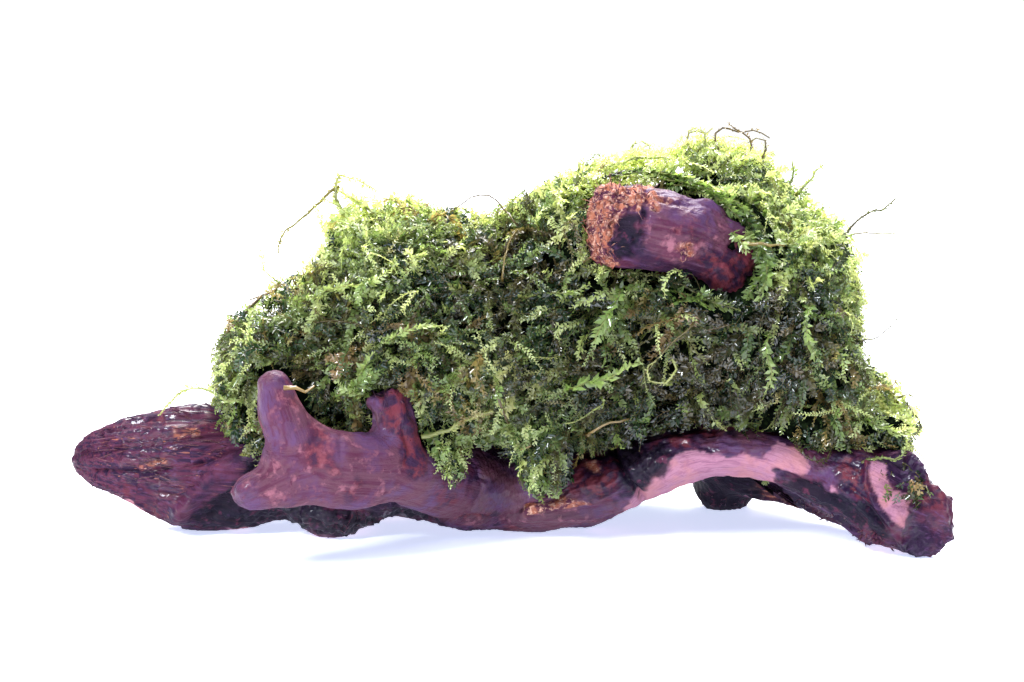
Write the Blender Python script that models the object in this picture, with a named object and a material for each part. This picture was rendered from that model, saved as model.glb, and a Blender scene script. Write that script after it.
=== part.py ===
"""Java moss on driftwood, a natural ornament for an aquarium.

Metres, +Z up. The origin is the middle of the surface that the wood rests on, +X runs along the
wood from the splintered root end to the spoon-shaped foot, and the viewer stands at -Y.

The wood is lofted limb by limb, fused into one organic body, cut off flat where it rests, and then
split at its main forks. The moss is a heap of rounded masses, fused, hollowed where the wood runs
through it, and split into the clumps that its shoots hang together in.
"""

import math

import bmesh
import bpy
from mathutils import Matrix, Vector, noise

MM = 0.001

# Driving dimensions, in metres.
JOINT_GAP = 0.3 * MM
WOOD_VOXEL = 1.1 * MM
WOOD_FACES = 3600
MOSS_VOXEL = 2.4 * MM
MOSS_FACES = 1600
MOSS_CLEARANCE = 0.9 * MM
CLEARANCE_DETAIL = 0.35
SMOOTHING_PASSES = 4
LIMB_SIDES = 20
RINGS_PER_SPAN = 5
CAP_RINGS = 3
BLUNT_CAP = (0.86, 0.12)
BARK_ROUGHNESS = 0.07
BARK_LUMPS_PER_METRE = 110
MOSS_ROUGHNESS = 0.10
MOSS_LUMPS_PER_METRE = 70
MASS_SUBDIVISIONS = 4
WELD = 0.002 * MM
CREASE = math.radians(50)
FORK_X = 30 * MM
CROTCH_Y = 3 * MM
STUB_FORK_Z = 25.5 * MM
ANTLER_FORK_Y = -15.5 * MM
FAR = 120 * MM
# From the frame of the stations below to the middle of the part's own box.
TO_ORIGIN = Vector((-0.5, 3.1, 0)) * MM

# Limbs of the wood. Each station is x, y, z, half depth, half breadth, in millimetres: the depth
# lies along the limb's own depth axis, and the breadth at right angles to it and to the limb.
TRUNK = (
    (-87.2, -2, 14.7, 2.4, 3.6),
    (-83, -2, 14.6, 5.0, 7.0),
    (-78, -2, 14.6, 7.0, 8.7),
    (-70, -2, 14.0, 9.0, 11.6),
    (-62, -2, 12.9, 10.5, 13.0),
    (-54, -1, 12.6, 11.5, 11.9),
    (-45, 0, 11.8, 12.0, 9.4),
    (-35, 1, 10.2, 12.5, 8.8),
    (-24, 1, 10.8, 13.5, 8.4),
    (-10, 1, 10.0, 14.5, 9.0),
    (4, 1, 9.2, 15.0, 9.5),
    (16, 0, 10.0, 14.5, 9.0),
    (25, -2, 12.8, 14.0, 7.0),
    (33, -4, 16.0, 14.0, 6.2),
)
ROOT_RIDGE = (
    (-50, -9, 18, 4, 5),
    (-58, -9, 13, 5, 6),
    (-65.5, -7, 7.2, 4.5, 5.2),
)
WET_CLUMP = (
    (-29, -7, 7, 4.5, 5),
    (-35.5, -8, 4.9, 5.2, 5.5),
    (-39.5, -7, 7, 4.2, 4.4),
)
FRONT_LEG = (
    (26, -4, 14.2, 12.8, 6.4),
    (33, -6, 16.8, 12.6, 6.0),
    (41, -7.5, 18.9, 12.6, 5.7),
    (49, -8, 19.4, 12.8, 5.4),
    (57, -9, 18.0, 12.8, 5.6),
    (65, -12, 15.4, 11.8, 6.4),
    (73, -17, 12.2, 9.4, 8.6),
    (79, -21, 10.3, 6.8, 10.6),
    (83.6, -23, 8.8, 5.0, 9.8),
    (86.4, -24, 7.8, 3.6, 7.2),
)
REAR_SHOULDER = (
    (28, 4, 15, 7, 6.5),
    (38, 7, 16.5, 6.5, 7.5),
    (46.5, 11, 14, 6.8, 7.4),
    (48.5, 15.5, 9, 7.2, 7.0),
    (48.2, 17, 4.6, 6.6, 5.6),
)
REAR_WING = (
    (50, 12, 10.5, 6.4, 6.6),
    (58, 8, 10.4, 6.4, 6.8),
    (65, 3.5, 9.2, 5.8, 6.6),
    (72, -4, 7.6, 4.8, 6.4),
    (79, -14, 6.6, 4.4, 5.6),
)
STUB = (
    (44, -2, 23, 8.2, 8.2),
    (45.5, -4, 31, 7.3, 7.3),
    (46, -7, 40, 6.8, 6.8),
    (45, -11, 50, 6.8, 6.6),
    (42.5, -14, 57.6, 7.2, 6.9),
    (37, -17, 62.8, 7.6, 7.5),
    (29, -20, 65.4, 8.0, 8.1),
    (19.5, -22.5, 66.5, 7.6, 7.9),
)
ANTLER_PALM = (
    (-8, -7, 11.5, 8.0, 7.5),
    (-14, -16, 14.0, 7.0, 6.4),
    (-21, -26, 18.0, 6.0, 7.6),
    (-29, -33, 19.4, 5.6, 7.6),
    (-36.5, -36, 21.4, 5.4, 7.4),
    (-42, -37.5, 23.0, 4.4, 5.2),
)
ANTLER_LOW_TINE = (
    (-36, -35.5, 19.5, 5.2, 5.6),
    (-42, -37.5, 18.2, 4.8, 4.4),
    (-48.6, -39, 16.8, 3.6, 3.4),
)
ANTLER_HIGH_TINE = (
    (-36, -35.5, 22, 5.2, 6.6),
    (-40.5, -37, 28, 4.6, 5.0),
    (-42.8, -37.8, 33.5, 4.2, 3.9),
    (-43.6, -38, 37.6, 3.4, 3.2),
)
ANTLER_PRONG = (
    (-22, -27.5, 20, 5.0, 6.4),
    (-21, -27, 26, 4.6, 4.6),
    (-21.4, -27, 31.5, 3.4, 3.6),
)
ANTLER_HOOK = (
    (-21, -27, 31, 2.8, 2.6),
    (-25, -28, 32.3, 1.8, 1.6),
)

# Rounded masses of the moss heap: centre x, y, z and half sizes x, y, z, in millimetres.
MOSS_HEAP = (
    (-20, 2, 40, 25, 29, 28),
    (-42, 1, 33, 17.5, 24, 18.5),
    (-49, -9, 28, 8.5, 13, 12),
    (-2, 2, 39, 21, 28, 25.5),
    (19, 3, 44, 25, 29, 31),
    (41, 3, 48, 25, 29, 30.5),
    (57, 0, 40, 18, 26, 28),
    (64, -3, 28, 14, 20, 18),
    (78, -10, 21.5, 9.5, 11, 8),
    (-14, -20, 20, 7, 6, 11),
    (11, -20, 19, 9, 6, 10.5),
    (-20, 19, 25, 34, 16, 18),
    (22, 20, 27, 32, 16, 20),
    (48, 14, 26, 22, 15, 18),
    (24, 4, 66, 16, 18, 11),
    (43, 2, 71, 14, 14, 9.5),
)
HEEL_TUFT = ((78.5, -27.5, 16.5, 4.6, 4.2, 4.4),)

# Clumps of the heap: name, then the lowest and highest x, y and z of the cell that holds it, in
# millimetres. Cells share their walls, and half of the joint gap comes off on each side.
WIDE = 200
BACK_Y = 13
CROWN_Z = 56
TUFT_X = 72
MOSS_CELLS = (
    ("moss_left_mound", (-WIDE, -WIDE, -WIDE), (-26, BACK_Y, WIDE)),
    ("moss_middle", (-26, -WIDE, -WIDE), (8, BACK_Y, WIDE)),
    ("moss_under_stub", (8, -WIDE, -WIDE), (46, BACK_Y, CROWN_Z)),
    ("moss_crown", (8, -WIDE, CROWN_Z), (WIDE, BACK_Y, WIDE)),
    ("moss_right_flank", (46, -WIDE, -WIDE), (TUFT_X, BACK_Y, CROWN_Z)),
    ("moss_leg_tuft", (TUFT_X, -WIDE, -WIDE), (WIDE, BACK_Y, CROWN_Z)),
    ("moss_back_left", (-WIDE, BACK_Y, -WIDE), (-16, WIDE, WIDE)),
    ("moss_back_middle", (-16, BACK_Y, -WIDE), (22, WIDE, WIDE)),
    ("moss_back_right", (22, BACK_Y, -WIDE), (WIDE, WIDE, WIDE)),
)

# Finishes: linear colour and roughness.
FINISHES = {
    "driftwood_trunk": ((0.085, 0.030, 0.034), 0.35),
    "antler_branch": ((0.230, 0.105, 0.110), 0.60),
    "stub_branch": ((0.190, 0.075, 0.070), 0.45),
    "front_leg": ((0.150, 0.062, 0.075), 0.40),
    "rear_leg": ((0.045, 0.022, 0.024), 0.50),
    "moss_left_mound": ((0.150, 0.270, 0.030), 0.45),
    "moss_middle": ((0.120, 0.210, 0.030), 0.45),
    "moss_under_stub": ((0.090, 0.180, 0.025), 0.45),
    "moss_crown": ((0.230, 0.340, 0.035), 0.45),
    "moss_right_flank": ((0.160, 0.300, 0.030), 0.45),
    "moss_leg_tuft": ((0.190, 0.350, 0.030), 0.45),
    "moss_back_left": ((0.110, 0.220, 0.028), 0.45),
    "moss_back_middle": ((0.095, 0.190, 0.026), 0.45),
    "moss_back_right": ((0.120, 0.230, 0.028), 0.45),
    "moss_heel_tuft": ((0.070, 0.160, 0.060), 0.45),
}


def clear_scene():
    for obj in list(bpy.data.objects):
        bpy.data.objects.remove(obj)


def finish(name):
    """The named sub-part's own material."""
    colour, roughness = FINISHES[name]
    material = bpy.data.materials.new(name)
    material.use_nodes = True
    shader = material.node_tree.nodes["Principled BSDF"]
    shader.inputs["Base Color"].default_value = (*colour, 1)
    shader.inputs["Roughness"].default_value = roughness
    shader.inputs["Metallic"].default_value = 0
    return material


def add_object(name, mesh):
    obj = bpy.data.objects.new(name, mesh)
    bpy.context.scene.collection.objects.link(obj)
    return obj


def evaluated(obj):
    """A plain mesh of the object with its modifiers applied."""
    bpy.context.view_layer.update()
    graph = bpy.context.evaluated_depsgraph_get()
    return bpy.data.meshes.new_from_object(obj.evaluated_get(graph))


def along(stations, place):
    """The station at this place on a smooth curve through all of them, from 0 to their last index."""
    span = min(int(place), len(stations) - 2)
    t = place - span
    before = stations[max(span - 1, 0)]
    start, end = stations[span], stations[span + 1]
    after = stations[min(span + 2, len(stations) - 1)]
    values = []
    for p0, p1, p2, p3 in zip(before, start, end, after):
        slope_in = (p2 - p0) / 2
        slope_out = (p3 - p1) / 2
        bend = 2 * p1 - 2 * p2 + slope_in + slope_out
        lift = 3 * p2 - 3 * p1 - 2 * slope_in - slope_out
        values.append(p1 + t * (slope_in + t * (lift + t * bend)))
    return values


def cap_rings(index, way):
    """Rings that round off a limb past its end station: index, share of its size, reach outwards."""
    shares = [math.sin(math.pi / 2 * i / (CAP_RINGS + 1)) for i in range(1, CAP_RINGS + 1)]
    return [(index, share, way * math.sqrt(1 - share * share)) for share in shares]


def add_limb(bm, stations, depth_axis, blunt_end=False):
    """Adds one closed limb with a rounded start, and a rounded or a blunt end."""
    last = (len(stations) - 1) * RINGS_PER_SPAN
    read = [along(stations, i / RINGS_PER_SPAN) for i in range(last + 1)]
    centres = [Vector(values[:3]) * MM for values in read]
    sizes = [(values[3] * MM, values[4] * MM) for values in read]
    rings = cap_rings(0, -1) + [(i, 1, 0) for i in range(last + 1)]
    rings += [(last, *BLUNT_CAP)] if blunt_end else reversed(cap_rings(last, 1))
    loops = []
    for index, share, reach in rings:
        tangent = centres[min(index + 1, last)] - centres[max(index - 1, 0)]
        tangent.normalize()
        depth_way = (depth_axis - tangent * depth_axis.dot(tangent)).normalized()
        breadth_way = tangent.cross(depth_way)
        depth, breadth = sizes[index]
        centre = centres[index] + tangent * reach * min(depth, breadth)
        loop = []
        for side in range(LIMB_SIDES):
            angle = 2 * math.pi * side / LIMB_SIDES
            out = depth_way * depth * math.cos(angle) + breadth_way * breadth * math.sin(angle)
            lump = 1 + BARK_ROUGHNESS * noise.noise((centre + out) * BARK_LUMPS_PER_METRE)
            loop.append(bm.verts.new(centre + out * share * lump))
        loops.append(loop)
    for first, second in zip(loops, loops[1:]):
        for side in range(LIMB_SIDES):
            following = (side + 1) % LIMB_SIDES
            bm.faces.new((first[side], first[following], second[following], second[side]))
    bm.faces.new(list(reversed(loops[0])))
    bm.faces.new(loops[-1])


def add_mass(bm, centre_and_sizes):
    """Adds one rounded, slightly lumpy mass."""
    values = [value * MM for value in centre_and_sizes]
    place = Matrix.Translation(values[:3]) @ Matrix.Diagonal((*values[3:], 1))
    made = bmesh.ops.create_icosphere(bm, subdivisions=MASS_SUBDIVISIONS, radius=1)
    for vert in made["verts"]:
        there = place @ vert.co
        lump = 1 + MOSS_ROUGHNESS * noise.noise(there * MOSS_LUMPS_PER_METRE)
        vert.co = place @ (vert.co * lump)


def fuse(bm, voxel, faces):
    """One closed body of every shape in bm, with smoothed junctions, of about this many triangles."""
    bmesh.ops.recalc_face_normals(bm, faces=bm.faces)
    mesh = bpy.data.meshes.new("fused")
    bm.to_mesh(mesh)
    bm.free()
    obj = add_object("fused", mesh)
    remesh = obj.modifiers.new("fuse", "REMESH")
    remesh.mode = "VOXEL"
    remesh.voxel_size = voxel
    smooth = obj.modifiers.new("smooth", "SMOOTH")
    smooth.iterations = SMOOTHING_PASSES
    fine = evaluated(obj)
    fine.calc_loop_triangles()
    thin = obj.modifiers.new("thin", "DECIMATE")
    thin.ratio = min(1, faces / len(fine.loop_triangles))
    thin.use_collapse_triangulate = True
    bpy.data.meshes.remove(fine)
    body = evaluated(obj)
    bpy.data.objects.remove(obj)
    return body


def box_mesh(low, high):
    bm = bmesh.new()
    bmesh.ops.create_cube(bm, size=1)
    for vert in bm.verts:
        for axis in range(3):
            vert.co[axis] = low[axis] if vert.co[axis] < 0 else high[axis]
    mesh = bpy.data.meshes.new("cell")
    bm.to_mesh(mesh)
    bm.free()
    return mesh


def boolean(mesh, operation, tool_mesh):
    """The mesh after one exact Boolean with the tool's mesh."""
    tool = add_object("tool", tool_mesh)
    tool.hide_render = True
    tool.display_type = "WIRE"
    obj = add_object("worked", mesh)
    cut = obj.modifiers.new("cut", "BOOLEAN")
    cut.operation = operation
    cut.solver = "EXACT"
    cut.object = tool
    result = evaluated(obj)
    bpy.data.objects.remove(obj)
    bpy.data.objects.remove(tool)
    return result


def room_for(mesh):
    """A coarser copy of the mesh with every point moved outwards by the clearance."""
    obj = add_object("room", mesh)
    swell = obj.modifiers.new("swell", "DISPLACE")
    swell.direction = "NORMAL"
    swell.mid_level = 0
    swell.strength = MOSS_CLEARANCE
    thin = obj.modifiers.new("thin", "DECIMATE")
    thin.ratio = CLEARANCE_DETAIL
    result = evaluated(obj)
    bpy.data.objects.remove(obj)
    return result


def largest_part(mesh):
    """Keeps the largest connected part of the mesh, and drops the crumbs that a cut left."""
    bm = bmesh.new()
    bm.from_mesh(mesh)
    bmesh.ops.remove_doubles(bm, verts=bm.verts, dist=WELD)
    bmesh.ops.dissolve_degenerate(bm, edges=bm.edges, dist=WELD)
    left = set(bm.verts)
    parts = []
    while left:
        reached = {left.pop()}
        edge_of_search = list(reached)
        while edge_of_search:
            vert = edge_of_search.pop()
            for edge in vert.link_edges:
                other = edge.other_vert(vert)
                if other not in reached:
                    reached.add(other)
                    edge_of_search.append(other)
        left -= reached
        parts.append(reached)
    parts.sort(key=len)
    crumbs = [vert for part in parts[:-1] for vert in part]
    bmesh.ops.delete(bm, geom=crumbs, context="VERTS")
    bmesh.ops.triangulate(bm, faces=bm.faces)
    bm.to_mesh(mesh)
    bm.free()
    return mesh


def piece(name, mesh):
    """One sub-part from a finished mesh, with its own finish."""
    body = largest_part(mesh)
    body.transform(Matrix.Translation(TO_ORIGIN))
    body.name = name
    body.materials.clear()
    body.materials.append(finish(name))
    body.shade_smooth()
    body.set_sharp_from_angle(angle=CREASE)
    return add_object(name, body)


def whole_wood():
    """All the wood as one body, cut off flat on the surface that it rests on."""
    bm = bmesh.new()
    front = Vector((0, 1, 0))
    aside = Vector((1, 0, 0))
    for stations in (TRUNK, ROOT_RIDGE, WET_CLUMP, FRONT_LEG, REAR_WING):
        add_limb(bm, stations, front)
    for stations in (ANTLER_LOW_TINE, ANTLER_HIGH_TINE, ANTLER_PRONG, ANTLER_HOOK):
        add_limb(bm, stations, front)
    add_limb(bm, ANTLER_PALM, Vector((0.75, 1, 0)).normalized())
    add_limb(bm, REAR_SHOULDER, aside)
    add_limb(bm, STUB, front, blunt_end=True)
    body = fuse(bm, WOOD_VOXEL, WOOD_FACES)
    return boolean(body, "DIFFERENCE", box_mesh((-FAR, -FAR, -FAR), (FAR, FAR, 0)))


def split_wood(wood):
    """The branches, each cut from the wood inside its own cell, and then the trunk that is left."""
    half = JOINT_GAP / 2
    cells = {
        "antler_branch": ((-FAR, -FAR, -FAR), (-5 * MM, ANTLER_FORK_Y, FAR)),
        "stub_branch": ((0, -FAR, STUB_FORK_Z), (FAR, FAR, FAR)),
        "rear_leg": ((FORK_X, CROTCH_Y, -FAR), (FAR, FAR, STUB_FORK_Z)),
        "front_leg": ((FORK_X, -FAR, -FAR), (FAR, CROTCH_Y, STUB_FORK_Z)),
    }
    trunk = wood
    for name, (low, high) in cells.items():
        inner = box_mesh([v + half for v in low], [v - half for v in high])
        outer = box_mesh([v - half for v in low], [v + half for v in high])
        piece(name, boolean(wood, "INTERSECT", inner))
        trunk = boolean(trunk, "DIFFERENCE", outer)
    piece("driftwood_trunk", trunk)


def moss_body(masses, voxel, faces, wood):
    """Moss masses fused into one body and hollowed where the wood runs through it."""
    bm = bmesh.new()
    for mass in masses:
        add_mass(bm, mass)
    return boolean(fuse(bm, voxel, faces), "DIFFERENCE", wood)


def main():
    clear_scene()
    wood = whole_wood()
    split_wood(wood)
    room = room_for(wood)
    heap = moss_body(MOSS_HEAP, MOSS_VOXEL, MOSS_FACES, room)
    half = JOINT_GAP / 2
    for name, low, high in MOSS_CELLS:
        cell = box_mesh([v * MM + half for v in low], [v * MM - half for v in high])
        piece(name, boolean(heap, "INTERSECT", cell))
    piece("moss_heel_tuft", moss_body(HEEL_TUFT, MOSS_VOXEL / 3, MOSS_FACES / 10, room))


if __name__ == "__main__":
    main()
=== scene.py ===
"""Looks for the java moss on driftwood: carved wood, grown moss and a pale photo table.

The wood's five nodes are taken as one body, remeshed fine, carved with grain, cracks and torn
edges, and parted again at the same forks. Each moss clump is grown as leafy shoots that follow
the clump's own solid. Lengths are metres, and tables of places are millimetres.
"""

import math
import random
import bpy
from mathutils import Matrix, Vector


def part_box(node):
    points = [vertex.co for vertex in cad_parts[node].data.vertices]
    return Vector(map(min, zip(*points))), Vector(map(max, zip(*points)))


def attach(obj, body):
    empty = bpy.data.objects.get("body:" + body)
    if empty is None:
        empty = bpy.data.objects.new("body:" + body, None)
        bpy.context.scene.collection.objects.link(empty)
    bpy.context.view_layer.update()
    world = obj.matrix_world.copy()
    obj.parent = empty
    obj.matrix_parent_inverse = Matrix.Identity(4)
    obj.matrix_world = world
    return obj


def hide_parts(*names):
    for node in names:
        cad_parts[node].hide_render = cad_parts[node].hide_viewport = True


bl_info = {
    "name": "Java moss on driftwood",
    "version": (1, 0, 0),
    "blender": (4, 5, 0),
    "location": "3D View > Sidebar > Driftwood",
    "description": "Carves the driftwood, grows the java moss and sets the photo table",
    "category": "Object",
}

import bmesh
import bpy
import numpy as np
from bpy.props import FloatProperty, FloatVectorProperty, IntProperty, PointerProperty
from mathutils import Vector
from mathutils.bvhtree import BVHTree

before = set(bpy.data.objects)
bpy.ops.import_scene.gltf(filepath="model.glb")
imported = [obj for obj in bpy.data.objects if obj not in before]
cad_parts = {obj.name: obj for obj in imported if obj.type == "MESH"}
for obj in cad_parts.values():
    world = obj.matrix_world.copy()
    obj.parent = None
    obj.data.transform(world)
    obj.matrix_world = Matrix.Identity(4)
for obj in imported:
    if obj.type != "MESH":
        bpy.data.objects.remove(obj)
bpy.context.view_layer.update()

MM = 0.001

# The photograph's camera.
PICTURE_SIZE = (1024, 682)
CAMERA_LENS = 85.0
CAMERA_SENSOR = 36.0
CAMERA_DISTANCE = 0.5
CAMERA_ELEVATION = math.radians(10)
CAMERA_TARGET = np.array((0.0015, 0.0031, 0.0395))
PIXELS_PER_SLOPE = CAMERA_LENS / CAMERA_SENSOR * PICTURE_SIZE[0]
FORWARD = np.array((0, math.cos(CAMERA_ELEVATION), -math.sin(CAMERA_ELEVATION)))
UPWARD = np.array((0, math.sin(CAMERA_ELEVATION), math.cos(CAMERA_ELEVATION)))
CAMERA_PLACE = CAMERA_TARGET - CAMERA_DISTANCE * FORWARD

WOOD_NODES = ("driftwood_trunk", "antler_branch", "stub_branch", "front_leg", "rear_leg")
WOOD_SLOTS = ("trunk_wood", "antler_wood", "stub_wood", "leg_wood", "rear_wood")
MOSS_NODES = (
    "moss_left_mound",
    "moss_middle",
    "moss_under_stub",
    "moss_crown",
    "moss_right_flank",
    "moss_leg_tuft",
    "moss_back_left",
    "moss_back_middle",
    "moss_back_right",
    "moss_heel_tuft",
)

# Forks of the wood, as boxes in millimetres: node, lowest corner, highest corner.
FAR = 500
FORKS = (
    ("antler_branch", (-FAR, -FAR, -FAR), (-5.5, -12.4, FAR)),
    ("stub_branch", (-0.5, -FAR, 25.5), (FAR, FAR, FAR)),
    ("rear_leg", (29.5, 6.1, -FAR), (FAR, FAR, 25.5)),
    ("front_leg", (29.5, -FAR, -FAR), (FAR, 6.1, 25.5)),
)

# Centre lines that the grain follows: x, y, z and half thickness, in millimetres.
LIMBS = (
    ((-89, 1, 14.7, 3), (-78, 1, 14.6, 8), (-62, 1, 12.9, 12), (-45, 3, 11.8, 10.5), (-24, 4, 10.8, 10.5),
     (4, 4, 9.2, 11.5), (25, 1, 12.8, 10)),
    ((25, 1, 12.8, 10), (40, -4.4, 18.9, 8.5), (56.5, -5.9, 18, 8.5), (72.5, -13.9, 12.2, 9), (86, -21, 7.8, 6)),
    ((27, 7, 15, 7), (38, 10, 16.5, 7), (46, 14, 14, 7), (48, 19, 4.6, 6)),
    ((49, 15, 10.5, 6), (64.5, 7, 9.2, 6), (78.5, -11, 6.6, 5)),
    ((43.5, 1, 23, 8.2), (45.5, -4, 40, 6.8), (42, -11, 57.6, 7), (36.5, -14, 62.8, 7.5), (19, -19.4, 66.5, 7.8)),
    ((-8, -4, 11.5, 8), (-21.5, -23, 18, 6.8), (-37, -33, 21.4, 6.4), (-49, -36, 16.8, 3.5)),
    ((-36.5, -32.4, 22, 5.8), (-41, -34, 28, 4.8), (-44, -35, 37.6, 3.3)),
    ((-22.5, -24.4, 20, 5.6), (-22, -24, 31.5, 3.5)),
)


GRAIN_STEPS = 4


def lattice(cells, seed):
    """A fixed random number from -1 to 1 for each row of whole numbers."""
    x, y, z = (cells[:, axis].astype(np.int64) for axis in range(3))
    mixed = (x * 73856093) ^ (y * 19349663) ^ (z * 83492791) ^ (seed * 2654435761)
    mixed &= 0x7FFFFFFF
    mixed = (mixed << 13) ^ mixed
    mixed = (mixed * (mixed * mixed * 15731 + 789221) + 1376312589) & 0x7FFFFFFF
    return mixed / 1073741824.0 - 1


def noise(points, seed=0):
    """Smooth noise from -1 to 1, with about one lump to a unit."""
    cells = np.floor(points)
    t = points - cells
    t = t * t * (3 - 2 * t)
    total = np.zeros(len(points))
    for corner in range(8):
        offset = np.array((corner & 1, corner >> 1 & 1, corner >> 2 & 1))
        weight = np.where(offset, t, 1 - t).prod(axis=1)
        total += weight * lattice(cells + offset, seed)
    return total


def layered(points, octaves, seed=0):
    """Noise with finer and weaker noise added, each half as wide and half as strong."""
    total = np.zeros(len(points))
    for octave in range(octaves):
        total += noise(points * 2**octave, seed + octave) / 2**octave
    return total


def ridged(points, octaves, seed=0):
    """Noise of sharp crests, from about -1 to 1."""
    total = np.zeros(len(points))
    for octave in range(octaves):
        total += (1 - 3 * np.abs(noise(points * 2**octave, seed + octave))) / 2**octave
    return total / 1.6


def smoothstep(values, low, high):
    t = np.clip((values - low) / (high - low), 0, 1)
    return t * t * (3 - 2 * t)


def to_picture(points):
    """The picture's pixel that shows each point, as two columns."""
    from_camera = points - CAMERA_PLACE
    depth = from_camera @ FORWARD
    u = PICTURE_SIZE[0] / 2 + PIXELS_PER_SLOPE * from_camera[:, 0] / depth
    v = PICTURE_SIZE[1] / 2 - PIXELS_PER_SLOPE * (from_camera @ UPWARD) / depth
    return np.stack((u, v), axis=1)


def picture_ray(u, v):
    """The direction from the camera through a pixel of the picture."""
    ray = FORWARD + UPWARD * (PICTURE_SIZE[1] / 2 - v) / PIXELS_PER_SLOPE
    ray = ray + np.array((1, 0, 0)) * (u - PICTURE_SIZE[0] / 2) / PIXELS_PER_SLOPE
    return ray / np.linalg.norm(ray)


def at_depth(u, v, y):
    """The point that the picture shows at this pixel, at this Y in millimetres."""
    ray = picture_ray(u, v)
    return CAMERA_PLACE + ray * (y * MM - CAMERA_PLACE[1]) / ray[1]


def mesh_arrays(mesh):
    """Points and triangles of a mesh, as arrays."""
    mesh.calc_loop_triangles()
    points = np.empty(len(mesh.vertices) * 3, np.float32)
    mesh.vertices.foreach_get("co", points)
    triangles = np.empty(len(mesh.loop_triangles) * 3, np.int32)
    mesh.loop_triangles.foreach_get("vertices", triangles)
    return points.reshape(-1, 3).astype(float), triangles.reshape(-1, 3)


def new_mesh(name, points, triangles):
    mesh = bpy.data.meshes.new(name)
    mesh.vertices.add(len(points))
    mesh.vertices.foreach_set("co", np.ascontiguousarray(points, np.float32).ravel())
    mesh.loops.add(len(triangles) * 3)
    mesh.loops.foreach_set("vertex_index", np.ascontiguousarray(triangles, np.int32).ravel())
    mesh.polygons.add(len(triangles))
    mesh.polygons.foreach_set("loop_start", np.arange(0, len(triangles) * 3, 3, dtype=np.int32))
    mesh.update(calc_edges=True)
    return mesh


def set_attribute(mesh, name, values):
    """Stores one number, or one vector, for each point of the mesh."""
    vector = values.ndim == 2
    layer = mesh.attributes.new(name, "FLOAT_VECTOR" if vector else "FLOAT", "POINT")
    layer.data.foreach_set("vector" if vector else "value", np.ascontiguousarray(values, np.float32).ravel())


def add_object(name, mesh):
    obj = bpy.data.objects.new(name, mesh)
    bpy.context.scene.collection.objects.link(obj)
    return obj


def plain_mesh(obj):
    """The object's mesh with its modifiers applied. The object is removed."""
    bpy.context.view_layer.update()
    graph = bpy.context.evaluated_depsgraph_get()
    mesh = bpy.data.meshes.new_from_object(obj.evaluated_get(graph))
    bpy.data.objects.remove(obj)
    return mesh


def normals_of(points, triangles):
    a, b, c = (points[triangles[:, i]] for i in range(3))
    across = np.cross(b - a, c - a)
    normals = np.zeros_like(points)
    for axis in range(3):
        for corner in range(3):
            normals[:, axis] += np.bincount(triangles[:, corner], across[:, axis], len(points))
    return normals / np.maximum(np.linalg.norm(normals, axis=1), 1e-12)[:, None]


def edges_of(triangles):
    pairs = np.concatenate((triangles[:, [0, 1]], triangles[:, [1, 2]], triangles[:, [2, 0]]))
    return np.unique(np.sort(pairs, axis=1), axis=0)


def neighbour_mean(values, edges):
    count = np.bincount(edges.ravel(), minlength=len(values))
    total = np.zeros_like(values)
    for axis in range(values.shape[1]):
        total[:, axis] = np.bincount(edges[:, 0], values[edges[:, 1], axis], len(values))
        total[:, axis] += np.bincount(edges[:, 1], values[edges[:, 0], axis], len(values))
    return total / np.maximum(count, 1)[:, None]


def relaxed(points, edges, passes):
    """Points smoothed in turns of shrinking and swelling, which keeps the body's size."""
    for index in range(passes):
        step = -0.53 if index % 2 else 0.5
        points = points + step * (neighbour_mean(points, edges) - points)
    return points


def fused_nodes(names, swell, voxel, passes):
    """CAD nodes as one closed body of small even triangles: points, triangles and edges."""
    bm = bmesh.new()
    for name in names:
        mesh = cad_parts[name].data.copy()
        part = bmesh.new()
        part.from_mesh(mesh)
        bmesh.ops.remove_doubles(part, verts=part.verts, dist=0.002 * MM)
        part.normal_update()
        for vert in part.verts:
            vert.co += vert.normal * swell
        part.to_mesh(mesh)
        part.free()
        bm.from_mesh(mesh)
        bpy.data.meshes.remove(mesh)
    mesh = bpy.data.meshes.new("fused")
    bm.to_mesh(mesh)
    bm.free()
    obj = add_object("fused", mesh)
    remesh = obj.modifiers.new("remesh", "REMESH")
    remesh.mode = "VOXEL"
    remesh.voxel_size = voxel
    points, triangles = mesh_arrays(plain_mesh(obj))
    edges = edges_of(triangles)
    return relaxed(points, edges, passes), triangles, edges


def smooth_line(rows, per_span):
    """Points on a smooth curve through all rows of numbers."""
    rows = np.array(rows, float)
    ends = np.concatenate((2 * rows[:1] - rows[1:2], rows, 2 * rows[-1:] - rows[-2:-1]))
    t = np.linspace(0, 1, per_span, endpoint=False)[:, None]
    spans = []
    for p0, p1, p2, p3 in zip(ends, ends[1:], ends[2:], ends[3:]):
        slope_in = (p2 - p0) / 2
        slope_out = (p3 - p1) / 2
        lift = 3 * (p2 - p1) - 2 * slope_in - slope_out
        bend = 2 * (p1 - p2) + slope_in + slope_out
        spans.append(p1 + t * (slope_in + t * (lift + t * bend)))
    return np.concatenate((*spans, rows[-1:]))


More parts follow.
